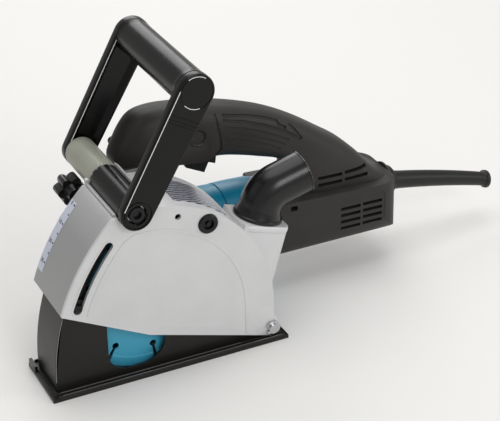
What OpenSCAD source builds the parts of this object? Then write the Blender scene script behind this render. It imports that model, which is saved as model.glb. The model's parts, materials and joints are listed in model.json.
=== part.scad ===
// Two-wheel wall chaser: a hinged wheel cover with two diamond wheels, driven through a bevel gear by a
// universal motor that lies beside it, on a shoe that slides along the wall.
// Frame: X forward along the cut, Y to the open side of the wheel cover, Z up from the sole.
// The origin is on the sole, below the rear pivot, near the middle of the cover.

/* [Shoe] */
// Forward reach of the sole in front of the pivot
sole_front = 188.5; // [186:0.5:192]
// Length of the sole behind the pivot
sole_back = 12; // [11:0.5:16]
// Sole thickness
sole_t = 3.2; // [2.5:0.1:3.3]
// Height of the pivot axis above the sole's face
pivot_z = 11; // [11:0.5:12]
// Width that the sole stands out past the guard walls
sole_lip = 8.3; // [7:0.1:9]
// Thickness of the guard walls
wall_t = 2; // [1.5:0.1:2.2]

/* [Wheel cover] */
// Open-side face of the wheel cover
cover_near = 27.8; // [27.6:0.1:28]
// Gear-side face of the wheel cover
cover_far = -34.7; // [-35:0.1:-34.5]
// Thickness of the cover's walls
cover_t = 2.8; // [2.6:0.1:3]
// Radius of the cover's front face about the pivot
cover_front_r = 185.3; // [185:0.1:186]
// Radius of the cover's round back
cover_arc_r = 107.7; // [107:0.1:108]
// Tilt of the dust collar from upright
collar_tilt = 17; // [14:1:18]

/* [Wheels and gears] */
// Diameter of the diamond wheels
wheel_d = 125; // [115:1:125]
// Spindle axis in front of the pivot
spindle_x = 105.6; // [104:0.2:105.8]
// Spindle axis above the sole with the cover up
spindle_z = 65.6; // [65:0.1:65.8]
// Teeth on the crown gear
crown_teeth = 39; // [36:1:42]
// Teeth on the pinion
pinion_teeth = 12; // [10:1:13]

/* [Motor] */
// Distance of the motor axis from the frame's origin, to the gear side
motor_y = -70; // [-71:0.5:-69.5]
// Slope of the motor axis down to the rear
motor_tilt = 3.2; // [2.5:0.1:3.5]
// Radius of the field housing
motor_r = 33; // [32:0.5:33]

/* [Front handle] */
// Handle axis in front of the pivot
handle_x = 113; // [112:0.5:114]
// Handle axis above the sole
handle_z = 146.5; // [146:0.5:148]
// Backward lean of the handle's arms
handle_lean = 30.1; // [25:0.1:35]
// Distance from the handle axis to the middle of the grip
handle_reach = 101.7; // [95:0.1:105]
// Grip diameter
grip_d = 25; // [22:0.5:28]

/* [Hidden] */
$fn = 64;

gap = 0.3;                              // air between parts that move past each other
fit = 0.05;                             // running clearance of a shaft in its hole
eps = 0.5;                              // overshoot of a cutting tool
far_away = 300;                         // longer than any part

// Shoe
wall_near = cover_near - cover_t - 0.8; // outer face of the near guard wall
wall_far = -17.5;                       // outer face of the far guard wall
wall_r = cover_front_r - 2.3;           // outer radius of the curved front wall
front_wall_t = 1.2;
wall_top_angle = 23.2;                  // top of the front wall, seen from the pivot
ear_r = 7.4;                            // round ends at the pivot
pin_r = 4;
pin_near = cover_near + 3.7;
pin_far = cover_far - 3;
clip_t = 1;
clip_gap = 0.8;                         // from the cover's face to the clip
swing = 16.8;                           // full-depth swing of the cover

// Arc slots for the guide pins
slot_r = 173.8;
slot_w = 7;
guide_angle = 21.4;                     // guide pin, seen from the pivot
slot_low = 21.0;
slot_high = 39.5;
stop_angle = 41.5;                      // depth stop at full depth
far_slot_high = 42.3;
guide_pin_r = 3.2;
stop_y = cover_far - 5;                 // outer face of the stop's block
knob_y = -58;                           // near end of the knob

// Cover outline
arc_x = 106.2;
arc_z = 37.8;
knee_x = 105.5;                         // where the lower edge turns steeper
front_low_z = 71;                       // lower front corner
front_low_x = 175.5;
knee_z = pivot_z - ear_r / cos(swing) + knee_x * tan(swing);
side_screw = [53.2, 120.2];
tapped_hole = [77.6, 132.2];

// Dust collar
collar_x = -3.2;
collar_y = -3.5;
collar_z = 97;
collar_half = 20.5;
collar_wide = 20;
collar_deep = 52;
collar_bore_r = 17.5;
nozzle_r = 17;
nozzle_wall = 2;
nozzle_bend_r = 22;
nozzle_turn = 58;
nozzle_neck = 10;                       // straight run before the bend
nozzle_outlet = 24;                     // straight run after the bend
outlet_step = 0.3;                      // the outlet socket stands this much outside the bend
outlet_lap = 0.8;                       // and starts this far before the bend's end

// Spindle stack, along Y
near_wheel_y = 15.4;
far_wheel_y = -8.6;
core_t = 1.4;
rim_t = 2.2;
rim_h = 8;
bore_r = 7;                             // M14 spindle end
nut_y = near_wheel_y + core_t;
nut_t = 7.4;
nut_r = 17;
box_near = -28;                         // near end of the bearing box's collar
box_r = 18.3;
box_flange_r = 28;
box_back = cover_far - 6;
bearing_near_r = 16;
bearing_near_bore = 6;
bearing_far_r = 13;
bearing_far_bore = 5;
gear_far = -101;                        // far end of the gear housing
gear_r = 28.5;                          // round of the gear housing about the spindle
shaft_lock_y = -50;
shaft_lock_z = spindle_z + gear_r;

// Bevel gears: the pitch cones meet at the crossing of the axes
crown_r = 23;
pinion_r = crown_r * pinion_teeth / crown_teeth;
tooth_w = 9;                            // face width, along the cone

// Motor stations, measured back from the spindle axis
bulkhead = 40;
field_front = 62;
field_back = 158;
core_front = 84;
core_back = 134;
comm_front = 150;
comm_back = 168;
rear_bearing = 178;
core_r = 20.5;
air_gap = 0.5;
comm_r = 13;
shaft_r = 5;
pinion_bore = 3;

// Rear handle and motor shells
shell_half = 34;                        // half width over the motor
grip_half = 19.5;                       // half width of the handle
shell_t = 3;
shell_step_z = 79;                      // height of the step between motor and handle
belly_r = 24;                           // rounding of the motor case's lower edges
belly_z = 18.5;                         // its lowest level
rear_x = -164.5;
button_spot = [25.3, 152.2];
trigger_pivot = [33, 131.7];
screw_spots = [[84, 147], [-37, 140], [-84, 118], [-148, 46], [-142, 70]];

// Cord guard
guard_back = rear_x - 0.1;
guard_z = 58.8;
guard_slope = 9.8;
guard_len = 101;

// Front handle, along Y
arm_near_in = cover_near + 0.4;
arm_t = 8.2;
arm_far_in = -83;
arm_foot_r = 13;
arm_head_r = 16;
axle_r = 5;
boss_r = 12.5;
boss_far = -30;
tube_r = 12.6;
trough_r = 15.2;
rod_r = 6;
grip_x = handle_x - handle_reach * sin(handle_lean);
grip_z = handle_z + handle_reach * cos(handle_lean);

// ---------------------------------------------------------------- helpers

// A flat outline drawn in X and Z, given thickness from y0 to y1
module slab(y0, y1) {
    translate([0, y1, 0])
        rotate([90, 0, 0])
            linear_extrude(y1 - y0)
                children();
}

// A round bar along Y
module bar_y(x, z, r, y0, y1) {
    translate([x, y1, z])
        rotate([90, 0, 0])
            cylinder(r = r, h = y1 - y0);
}

// A ring along Y
module ring_y(x, z, r, bore, y0, y1) {
    difference() {
        bar_y(x, z, r, y0, y1);
        bar_y(x, z, bore, y0 - eps, y1 + eps);
    }
}

// Children drawn with +Z back along the motor axis and +X up, from the spindle axis
module on_motor() {
    translate([spindle_x, motor_y, spindle_z])
        rotate([0, -90 - motor_tilt, 0])
            children();
}

// A ring about the motor axis
module motor_ring(r, bore, from, to) {
    on_motor()
        translate([0, 0, from])
            difference() {
                cylinder(r = r, h = to - from);
                translate([0, 0, -eps])
                    cylinder(r = bore, h = to - from + 2 * eps);
            }
}

// Children drawn about the dust collar's axis, +Z out of the collar
module on_collar() {
    translate([collar_x, collar_y, collar_z])
        rotate([0, -collar_tilt, 0])
            children();
}

// A point on a circle about the pivot, in X and Z
function about_pivot(r, angle) = [r * cos(angle), pivot_z + r * sin(angle)];

// A wedge seen from the pivot, between two angles
module pivot_wedge(low, high, r) {
    polygon([
        [0, pivot_z],
        about_pivot(r, low),
        about_pivot(r, (low + high) / 2) * 1.05,
        about_pivot(r, high)
    ]);
}

// An arc slot about the pivot, with round ends
module arc_slot(low, high, w) {
    intersection() {
        translate([0, pivot_z])
            difference() {
                circle(r = slot_r + w / 2);
                circle(r = slot_r - w / 2);
            }
        pivot_wedge(low, high, 2 * slot_r);
    }
    for (angle = [low, high])
        translate(about_pivot(slot_r, angle))
            circle(r = w / 2);
}

// A socket-head screw along Y, head towards +Y when way is 1
module screw_y(x, z, y_head, way, head_r, head_t, shank_r, length) {
    difference() {
        union() {
            bar_y(x, z, head_r, min(y_head, y_head - way * head_t), max(y_head, y_head - way * head_t));
            bar_y(x, z, shank_r, min(y_head, y_head - way * length), max(y_head, y_head - way * length));
        }
        translate([x, y_head, z])
            rotate([90, 30, 0])
                translate([0, 0, -head_t * 0.6])
                    cylinder(r = head_r * 0.5, h = head_t * 1.2, $fn = 6);
    }
}

// ---------------------------------------------------------------- shoe

// Window in the guard walls that the spindle travels through
module spindle_window() {
    window_back = 91.2;
    window_front = 138.8;
    window_low = 8;
    back_r = 20;
    front_r = 16;
    translate([window_back, window_low + back_r])
        square([window_front - window_back, 80]);
    translate([window_back + back_r, window_low + back_r])
        circle(r = back_r);
    translate([window_front - front_r, window_low + front_r])
        circle(r = front_r);
    translate([window_back + back_r, window_low])
        square([window_front - front_r - window_back - back_r, 40]);
    translate([window_front - front_r, window_low + front_r])
        square([front_r, 40]);
}

module guard_wall_outline() {
    difference() {
        intersection() {
            union() {
                polygon([
                    [-ear_r, 0], [wall_r + 2, 0], about_pivot(wall_r + 3, wall_top_angle),
                    about_pivot(slot_r - 9, wall_top_angle + 0.6), [138, 74], [91, 52], [12, 21],
                    [0, pivot_z + ear_r], [-ear_r, pivot_z]
                ]);
                translate([0, pivot_z])
                    circle(r = ear_r);
            }
            translate([0, pivot_z])
                circle(r = wall_r);
        }
        spindle_window();
        translate([0, pivot_z])
            circle(r = pin_r + 0.02);
    }
}

module front_wall_outline() {
    intersection() {
        translate([0, pivot_z])
            difference() {
                circle(r = wall_r);
                circle(r = wall_r - front_wall_t);
            }
        polygon([
            [100, 0], [wall_r + 5, 0], about_pivot(wall_r + 5, wall_top_angle),
            about_pivot(100, wall_top_angle)
        ]);
    }
}

module base_shoe() {
    near_edge = wall_near + sole_lip;
    far_edge = wall_far - sole_lip;
    opening = [38, 178];
    sight_tab = [14, 8];
    color("#26262a")
        union() {
            difference() {
                translate([-sole_back, far_edge, 0])
                    cube([sole_front + sole_back, near_edge - far_edge, sole_t]);
                translate([opening[0], wall_far + wall_t + 3, -eps])
                    cube([opening[1] - opening[0], wall_near - wall_far - 2 * wall_t - 5, sole_t + 2 * eps]);
            }
            slab(wall_near - wall_t, wall_near)
                guard_wall_outline();
            slab(wall_far, wall_far + wall_t)
                guard_wall_outline();
            slab(wall_far, wall_near)
                front_wall_outline();
            translate([sole_front - 2.5, far_edge + 1.5, 0])
                cube([2.5, sight_tab[0], sight_tab[1]]);
        }
}

module pivot_pin() {
    groove = 0.6;
    color("silver")
        difference() {
            bar_y(0, pivot_z, pin_r, pin_far, pin_near);
            ring_y(0, pivot_z, pin_r + eps, pin_r - groove, cover_near + clip_gap,
                   cover_near + clip_gap + clip_t);
            ring_y(0, pivot_z, pin_r + eps, pin_r - groove, cover_far - clip_gap - clip_t,
                   cover_far - clip_gap);
        }
}

module pivot_clips() {
    clip_r = 6.2;
    color("dimgray")
        for (y = [cover_near + clip_gap, cover_far - clip_gap - clip_t])
            difference() {
                ring_y(0, pivot_z, clip_r, pin_r - 0.55, y + 0.05, y + clip_t - 0.05);
                translate([0, y - eps, pivot_z - 2])
                    cube([20, clip_t + 2 * eps, 4]);
            }
}

module pivot_spring() {
    coil_r = 6.6;
    color("gray")
        ring_y(0, pivot_z, coil_r, pin_r + 0.8, wall_far + wall_t + 6, wall_near - wall_t - 6);
}

module guide_pins() {
    spot = about_pivot(slot_r, guide_angle);
    color("#202022") {
        bar_y(spot[0], spot[1], guide_pin_r, wall_near, cover_near + 0.4);
        bar_y(spot[0], spot[1], guide_pin_r, cover_far + gap, wall_far);
    }
}

// ---------------------------------------------------------------- wheel cover

// The cover's outline, drawn in by t on every side but the lower one
module cover_outline(t) {
    intersection() {
        union() {
            translate([arc_x, arc_z])
                circle(r = cover_arc_r - t);
            polygon([
                [arc_x - cover_arc_r + t, arc_z], [arc_x - cover_arc_r + t, -10],
                [front_low_x + 30, -10], [front_low_x + 30, arc_z + 30]
            ]);
        }
        translate([0, pivot_z])
            circle(r = cover_front_r - min(t, 1.8));
        polygon([
            [-50, pivot_z - ear_r / cos(swing) - 50 * tan(swing)], [knee_x, knee_z],
            [front_low_x, front_low_z], [front_low_x + 40, front_low_z - 20],
            [front_low_x + 40, 200], [-50, 200]
        ]);
        translate([-50, pivot_z - ear_r])
            square([300, 200]);
    }
}

module cover_ears() {
    translate([0, pivot_z])
        circle(r = ear_r);
}

// Outline of the dust duct, drawn in by t
module duct_outline(t, top) {
    translate([collar_x, collar_z])
        rotate(collar_tilt)
            translate([-collar_half + t, -collar_deep + t])
                square([2 * (collar_half - t), collar_deep - t + top]);
}

module wheel_cover() {
    scale_seat = 0.6;
    color("#c9c8c6")
        difference() {
            union() {
                slab(cover_far, cover_near - cover_t)
                    cover_outline(0);
                slab(cover_far, cover_far + cover_t)
                    cover_ears();
                slab(collar_y - collar_wide, collar_y + collar_wide)
                    duct_outline(0, 0);
                bar_y(handle_x, handle_z, trough_r, cover_far, cover_near - cover_t);
                bar_y(handle_x, handle_z, tube_r, arm_far_in + gap, cover_far + 1);
            }
            difference() {
                slab(cover_far + cover_t, cover_near)
                    cover_outline(cover_t);
                bar_y(handle_x, handle_z, trough_r, cover_far, cover_near);
                bar_y(side_screw[0], side_screw[1], 7, cover_far, cover_near);
            }
            slab(collar_y - collar_wide + 3, collar_y + collar_wide - 3)
                duct_outline(3, -9);
            on_collar()
                translate([0, 0, -12])
                    cylinder(r = collar_bore_r, h = 20);
            // trough for the handle boss, and the bore for its axle
            bar_y(handle_x, handle_z, boss_r + 0.4, boss_far - gap, cover_near + eps);
            bar_y(handle_x, handle_z, axle_r + fit, arm_far_in - eps, 0);
            translate([handle_x - 8, boss_far - gap, handle_z - 1])
                cube([40, cover_near - boss_far + 1, 40]);
            difference() {
                translate([handle_x - 20, cover_far - 1, handle_z + 2])
                    cube([40, boss_far - cover_far + 2, 20]);
                bar_y(handle_x, handle_z, tube_r, cover_far - 2, boss_far);
            }
            // spindle collar, arc slot and pivot hole in the gear-side wall
            bar_y(spindle_x, spindle_z, box_r + 0.05, cover_far - eps, cover_far + cover_t + eps);
            slab(cover_far - eps, cover_far + cover_t + eps)
                arc_slot(slot_low, far_slot_high, slot_w);
            bar_y(0, pivot_z, pin_r + fit, cover_far - eps, cover_near);
            bar_y(0, pivot_z, 9.5, cover_far + cover_t, cover_near);
            bar_y(side_screw[0], side_screw[1], 4.02, 0, cover_near);
            for (corner = [45:90:315])
                bar_y(spindle_x + 23.5 * cos(corner), spindle_z + 23.5 * sin(corner), 3.6,
                      cover_far - eps, cover_far + cover_t + eps);
        }
}

module side_cover() {
    color("#d2d1cf")
        difference() {
            union() {
                slab(cover_near - cover_t, cover_near)
                    cover_outline(0);
                slab(cover_near - cover_t, cover_near)
                    cover_ears();
            }
            slab(cover_near - cover_t - eps, cover_near + eps)
                arc_slot(slot_low, slot_high, slot_w);
            bar_y(0, pivot_z, pin_r + fit, 0, cover_near + eps);
            bar_y(handle_x, handle_z, boss_r + 0.6, 0, cover_near + eps);
            bar_y(side_screw[0], side_screw[1], 4.2, 0, cover_near + eps);
            bar_y(side_screw[0], side_screw[1], 8.2, cover_near - 1, cover_near + eps);
            bar_y(tapped_hole[0], tapped_hole[1], 2.5, 0, cover_near + eps);
        }
}

module side_cover_screws() {
    color("#1c1c1e")
        screw_y(side_screw[0], side_screw[1], cover_near + 2, 1, 8, 2.9, 4, 20);
}

module cover_flange_screws() {
    color("gray")
        for (corner = [45:90:315])
            bar_y(spindle_x + 23.5 * cos(corner), spindle_z + 23.5 * sin(corner), 3.5,
                  cover_far, cover_far + cover_t - 0.1);
}

// A thin plate bent over the cover's round back
module name_plate() {
    color("#b9bcc4")
        slab(-22, 18)
            intersection() {
                translate([arc_x, arc_z])
                    difference() {
                        circle(r = cover_arc_r + 0.5);
                        circle(r = cover_arc_r + 0.02);
                    }
                polygon([[arc_x, arc_z], [4, 150], [68, 170]]);
            }
}

module depth_scale() {
    strip_w = 10;
    color("#dfe3ec")
        slab(cover_far + 0.5, cover_far + 0.5 + strip_w)
            intersection() {
                translate([0, pivot_z])
                    difference() {
                        circle(r = cover_front_r + 0.35);
                        circle(r = cover_front_r + 0.02);
                    }
                pivot_wedge(22.5, 41.5, 250);
            }
}

// ---------------------------------------------------------------- depth stop

module depth_stop() {
    block = 5.6;                        // half width along the slot
    color("#3a3a3e")
        translate([0, 0, pivot_z])
            rotate([0, -stop_angle, 0])
                translate([slot_r, 0, 0])
                    difference() {
                        translate([-7, stop_y, -block])
                            cube([14, cover_far - gap - stop_y, 2 * block]);
                        bar_y(0, 0, 2.5, stop_y - eps, cover_far + 10);
                    }
}

module depth_stop_stud() {
    spot = about_pivot(slot_r, stop_angle);
    color("silver")
        bar_y(spot[0], spot[1], 2.5, knob_y - 3, cover_far + 2.5);
}

module depth_knob() {
    spot = about_pivot(slot_r, stop_angle);
    knob_core = 9;
    lobe_r = 3.4;
    knob_t = 13;
    color("#17171a")
        difference() {
            union() {
                bar_y(spot[0], spot[1], knob_core, knob_y - knob_t, knob_y);
                bar_y(spot[0], spot[1], 6, knob_y, knob_y + 9);
                for (lobe = [0:60:300])
                    bar_y(spot[0] + knob_core * cos(lobe), spot[1] + knob_core * sin(lobe), lobe_r,
                          knob_y - knob_t, knob_y);
            }
            bar_y(spot[0], spot[1], 2.5 + fit, knob_y - 4, knob_y + 10);
        }
}

// ---------------------------------------------------------------- front handle

module handle_arm(y0, y1) {
    difference() {
        slab(y0, y1)
            hull() {
                translate([handle_x, handle_z])
                    circle(r = arm_foot_r, $fn = 48);
                translate([grip_x, grip_z])
                    circle(r = arm_head_r, $fn = 48);
            }
        bar_y(handle_x, handle_z, 4 + fit, y0 - eps, y1 + eps);
        bar_y(grip_x, grip_z, rod_r + 0.02, y0 - eps, y1 + eps);
    }
}

module handle_arm_near() {
    color("#1b1a18")
        difference() {
            handle_arm(arm_near_in, arm_near_in + arm_t);
            bar_y(handle_x, handle_z, 8, arm_near_in + arm_t - 5.2, arm_near_in + arm_t + eps);
        }
}

module handle_arm_far() {
    color("#1b1a18")
        difference() {
            handle_arm(arm_far_in - arm_t, arm_far_in);
            bar_y(handle_x, handle_z, 8, arm_far_in - arm_t - eps, arm_far_in - arm_t + 5.2);
        }
}

module handle_grip() {
    color("#1b1a18")
        ring_y(grip_x, grip_z, grip_d / 2, rod_r + 0.02, arm_far_in, arm_near_in);
}

module handle_rod() {
    color("silver")
        bar_y(grip_x, grip_z, rod_r, arm_far_in - arm_t + 1, arm_near_in + arm_t - 1);
}

module handle_boss() {
    color("#201f1d")
        ring_y(handle_x, handle_z, boss_r, axle_r + 0.02, boss_far, arm_near_in);
}

module handle_axle() {
    color("silver")
        difference() {
            bar_y(handle_x, handle_z, axle_r, arm_far_in, arm_near_in);
            bar_y(handle_x, handle_z, 4.02, arm_near_in - 16, arm_near_in + eps);
            bar_y(handle_x, handle_z, 4.02, arm_far_in - eps, arm_far_in + 16);
        }
}

module handle_bolts() {
    color("#2a2a2c") {
        screw_y(handle_x, handle_z, arm_near_in + arm_t - 0.8, 1, 6.5, 4.4, 4, 22);
        screw_y(handle_x, handle_z, arm_far_in - arm_t + 0.8, -1, 6.5, 4.4, 4, 22);
    }
}

// ---------------------------------------------------------------- dust nozzle

// The elbow as a solid of radius r, its outlet a little wider than its bend, and its bore ends run past by over
module elbow(r, over) {
    on_collar() {
        translate([0, 0, -over])
            cylinder(r = r - outlet_step, h = nozzle_neck + over);
        translate([-nozzle_bend_r, 0, nozzle_neck])
            rotate([90, 0, 0])
                rotate_extrude(angle = nozzle_turn)
                    translate([nozzle_bend_r, 0])
                        circle(r = r - outlet_step);
        translate([-nozzle_bend_r, 0, nozzle_neck])
            rotate([0, -nozzle_turn, 0])
                translate([nozzle_bend_r, 0, -outlet_lap])
                    cylinder(r = r, h = nozzle_outlet + over + outlet_lap);
    }
}

module dust_nozzle() {
    spigot_r = collar_bore_r - 0.08;
    color("#131314")
        difference() {
            union() {
                on_collar() {
                    translate([0, 0, -8])
                        difference() {
                            cylinder(r = spigot_r, h = 9);
                            translate([0, 0, 2.5])
                                difference() {
                                    cylinder(r = spigot_r + 1, h = 2);
                                    cylinder(r = spigot_r - 0.9, h = 2);
                                }
                        }
                    translate([0, 0, gap])
                        cylinder(r = 20.3, h = 3);
                }
                elbow(nozzle_r, 0);
            }
            elbow(nozzle_r - nozzle_wall, 10);
        }
}

module nozzle_seal() {
    color("#2b2b2d")
        on_collar()
            translate([0, 0, -5.4])
                difference() {
                    cylinder(r = collar_bore_r - 0.1, h = 1.8);
                    translate([0, 0, -eps])
                        cylinder(r = collar_bore_r - 0.95, h = 3);
                }
}

// ---------------------------------------------------------------- gear housing and spindle

module gear_housing() {
    wall = 3.2;
    lug = [20, 24];
    color("#b9b8b4")
        difference() {
            union() {
                bar_y(spindle_x, spindle_z, gear_r, gear_far, box_back);
                on_motor() {
                    translate([0, 0, 10])
                        cylinder(r1 = 27, r2 = motor_r, h = 38);
                    translate([0, 0, 48])
                        cylinder(r = motor_r, h = field_front - 48);
                }
                translate([72, motor_y - lug[1] / 2, 84])
                    cube([lug[0], lug[1], 50]);
            }
            bar_y(spindle_x, spindle_z, gear_r - wall, gear_far + 14, box_back + eps);
            bar_y(spindle_x, spindle_z, bearing_far_r, gear_far + 3, gear_far + 20);
            on_motor() {
                cylinder(r1 = 20, r2 = 26, h = bulkhead);
                translate([0, 0, bulkhead - eps])
                    cylinder(r = 13, h = 9 + eps);
                translate([0, 0, bulkhead + 6])
                    cylinder(r = 29.5, h = field_front);
            }
            translate([spindle_x, shaft_lock_y, spindle_z + 10])
                cylinder(r = 3 + fit, h = 40);
            translate([spindle_x, shaft_lock_y, shaft_lock_z - 6])
                cylinder(r = 7.5, h = 20);
            housing_screw_spots()
                cylinder(r = 2.2, h = 12);
        }
}

// The four screws that hold the field housing to the gear housing
module housing_screw_spots() {
    on_motor()
        for (corner = [45:90:315])
            rotate([0, 0, corner])
                translate([motor_r - 2.6, 0, field_front - 11])
                    children();
}

module housing_screws() {
    color("#3c3c3e")
        housing_screw_spots()
            cylinder(r = 2.15, h = 10.9);
}

module bearing_box() {
    color("#8e8e90")
        difference() {
            union() {
                bar_y(spindle_x, spindle_z, box_flange_r, box_back, cover_far - 0.05);
                bar_y(spindle_x, spindle_z, box_r, cover_far - 1, box_near);
            }
            bar_y(spindle_x, spindle_z, bearing_near_r, box_back - eps, box_near - 2);
            bar_y(spindle_x, spindle_z, 9, box_back - eps, box_near + eps);
        }
}

module spindle() {
    color("silver")
        difference() {
            union() {
                bar_y(spindle_x, spindle_z, bore_r - 0.1, box_near + 1, nut_y + nut_t - 0.4);
                bar_y(spindle_x, spindle_z, bearing_near_bore, gear_far + 13.5, box_near + 2);
                bar_y(spindle_x, spindle_z, bearing_far_bore, gear_far + 4, gear_far + 14);
            }
            bar_y(spindle_x, spindle_z, 2.5, nut_y, nut_y + nut_t);
        }
}

module spindle_bearing_near() {
    color("gainsboro")
        ring_y(spindle_x, spindle_z, bearing_near_r, bearing_near_bore, box_near - 12, box_near - 2.05);
}

module spindle_bearing_far() {
    color("gainsboro")
        ring_y(spindle_x, spindle_z, bearing_far_r, bearing_far_bore, gear_far + 5, gear_far + 13);
}

// A bevel gear about +Z: the big end at z = 0, the small end towards the cone's tip
module bevel_gear(r, other_r, teeth, bore) {
    slope = tooth_w / sqrt(r * r + other_r * other_r);
    depth = 1.7;
    difference() {
        union() {
            cylinder(r1 = r, r2 = r * (1 - slope), h = other_r * slope);
            translate([0, 0, -3])
                cylinder(r = r, h = 3.01);
        }
        for (tooth = [0:teeth - 1])
            rotate([0, 0, tooth * 360 / teeth])
                translate([r, 0, 0])
                    rotate([0, -atan2(r, other_r), 0])
                        translate([-depth, -r * 0.045, -tooth_w])
                            cube([3 * depth, r * 0.09, 3 * tooth_w]);
        translate([0, 0, -4])
            cylinder(r = bore, h = 40);
    }
}

module crown_gear() {
    color("#8c8c90")
        difference() {
            union() {
                translate([spindle_x, motor_y + pinion_r + gap, spindle_z])
                    rotate([90, 0, 0])
                        bevel_gear(crown_r, pinion_r, crown_teeth, bearing_near_bore + 0.02);
                ring_y(spindle_x, spindle_z, 18, bearing_near_bore + 0.02, motor_y + pinion_r + 2,
                       motor_y + pinion_r + 16);
            }
            for (way = [0:90:270])
                translate([spindle_x, shaft_lock_y, spindle_z])
                    rotate([0, way, 0])
                        translate([0, 0, 13])
                            cylinder(r = 3.4, h = 12);
        }
}

module inner_flange() {
    color("gray")
        union() {
            ring_y(spindle_x, spindle_z, 12, bore_r, far_wheel_y - 9, far_wheel_y - 4);
            ring_y(spindle_x, spindle_z, 20, bore_r, far_wheel_y - 4.5, far_wheel_y);
        }
}

// A diamond wheel: a steel core with keyhole gullets and a thicker rim
module diamond_wheel(y) {
    gullets = 9;
    hole_r = 47;
    rim = (rim_t - core_t) / 2;
    difference() {
        union() {
            bar_y(spindle_x, spindle_z, wheel_d / 2 - rim_h + 1, y, y + core_t);
            ring_y(spindle_x, spindle_z, wheel_d / 2, wheel_d / 2 - rim_h, y - rim, y + core_t + rim);
        }
        bar_y(spindle_x, spindle_z, bore_r + 0.05, y - eps, y + core_t + eps);
        for (g = [0:gullets - 1])
            translate([spindle_x, 0, spindle_z])
                rotate([0, g * 360 / gullets + 8, 0]) {
                    bar_y(0, -hole_r, 2.6, y - 2, y + core_t + 2);
                    translate([-0.7, y - 2, -wheel_d / 2 - 2])
                        cube([1.4, core_t + 4, wheel_d / 2 + 2 - hole_r]);
                }
    }
}

module wheel_far() {
    color("#4aa5bf")
        diamond_wheel(far_wheel_y);
}

module wheel_near() {
    color("#4aa5bf")
        diamond_wheel(near_wheel_y);
}

module wheel_spacers() {
    count = 4;
    room = near_wheel_y - far_wheel_y - core_t;
    thick = room / count;
    color("silver")
        for (i = [0:count - 1])
            ring_y(spindle_x, spindle_z, 16, bore_r, far_wheel_y + core_t + i * thick,
                   far_wheel_y + core_t + (i + 1) * thick - (i < count - 1 ? 0.02 : 0));
}

module lock_nut() {
    color("dimgray")
        difference() {
            bar_y(spindle_x, spindle_z, nut_r, nut_y, nut_y + nut_t);
            bar_y(spindle_x, spindle_z, bore_r, nut_y - eps, nut_y + nut_t + eps);
            for (way = [0, 90, 180, 270])
                bar_y(spindle_x + 12 * cos(way), spindle_z + 12 * sin(way), 2.2, nut_y + 3,
                      nut_y + nut_t + eps);
        }
}

module shaft_lock_button() {
    color("#1b1a18")
        union() {
            translate([spindle_x, shaft_lock_y, spindle_z + 19.5])
                cylinder(r = 3, h = 16);
            translate([spindle_x, shaft_lock_y, shaft_lock_z - 1])
                cylinder(r = 7, h = 8);
        }
}

// ---------------------------------------------------------------- armature

module armature_shaft() {
    color("silver")
        on_motor()
            union() {
                translate([0, 0, crown_r - 9])
                    cylinder(r = pinion_bore, h = 16);
                translate([0, 0, crown_r + 5])
                    cylinder(r = shaft_r, h = rear_bearing + 7 - crown_r - 5);
            }
}

module pinion() {
    color("#8c8c90")
        on_motor()
            translate([0, 0, crown_r + gap])
                rotate([180, 0, 0])
                    bevel_gear(pinion_r, crown_r, pinion_teeth, pinion_bore + 0.02);
}

module armature_bearing_front() {
    motor_bearing(bulkhead);
}

module armature_bearing_rear() {
    motor_bearing(rear_bearing);
}

module motor_bearing(from) {
    color("gainsboro")
        motor_ring(from == bulkhead ? 13 : 11, shaft_r, from, from + (from == bulkhead ? 6 : 7));
}

module cooling_fan() {
    blades = 16;
    hub_r = 9;
    fan_r = 28;
    color("#c8c2ae")
        on_motor()
            translate([0, 0, field_front + 4])
                union() {
                    difference() {
                        cylinder(r = hub_r, h = 12);
                        translate([0, 0, -eps])
                            cylinder(r = shaft_r, h = 14);
                    }
                    difference() {
                        cylinder(r = fan_r, h = 2);
                        translate([0, 0, -eps])
                            cylinder(r = shaft_r, h = 4);
                    }
                    for (b = [0:blades - 1])
                        rotate([0, 0, b * 360 / blades])
                            translate([hub_r - 1, -0.6, 1])
                                cube([fan_r - hub_r, 1.2, 10]);
                }
}

module armature_core() {
    slots = 12;
    color("#8d7f74")
        on_motor()
            translate([0, 0, core_front])
                difference() {
                    cylinder(r = core_r, h = core_back - core_front);
                    translate([0, 0, -eps])
                        cylinder(r = shaft_r, h = 80);
                    for (s = [0:slots - 1])
                        rotate([0, 0, s * 360 / slots])
                            translate([core_r - 3.4, -0.9, -eps])
                                cube([5, 1.8, 80]);
                }
}

module commutator() {
    bars = 24;
    color("#b87333")
        on_motor()
            translate([0, 0, comm_front])
                difference() {
                    cylinder(r = comm_r, h = comm_back - comm_front);
                    translate([0, 0, -eps])
                        cylinder(r = shaft_r, h = 40);
                    for (b = [0:bars - 1])
                        rotate([0, 0, b * 360 / bars])
                            translate([comm_r - 0.8, -0.3, 2])
                                cube([3, 0.6, 40]);
                }
}

// ---------------------------------------------------------------- motor housing

module field_stator() {
    color("#6d6a66")
        on_motor()
            translate([0, 0, core_front])
                difference() {
                    cylinder(r = motor_r - 2.6, h = core_back - core_front);
                    translate([0, 0, -eps])
                        cylinder(r = core_r + air_gap, h = 80);
                    for (side = [0, 180])
                        rotate([0, 0, side])
                            for (wing = [-1, 1])
                                rotate([0, 0, wing * 52])
                                    translate([core_r + 1, -3.5, -eps])
                                        cube([6, 7, 80]);
                }
}

module field_housing() {
    color("#0a6f8f")
        union() {
            motor_ring(motor_r, motor_r - 2.5, field_front, field_back);
            motor_ring(motor_r - 1, motor_r - 6, core_front - 4, core_front - gap);
        }
}

module brush_holders() {
    color("#b08d57")
        on_motor()
            for (side = [0, 180])
                rotate([0, 0, side + 90])
                    translate([comm_r + 2, -5, comm_front + 3])
                        difference() {
                            cube([14, 10, 12]);
                            translate([-eps, 1.9, 1.9])
                                cube([13, 6.2, 8.2]);
                        }
}

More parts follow.
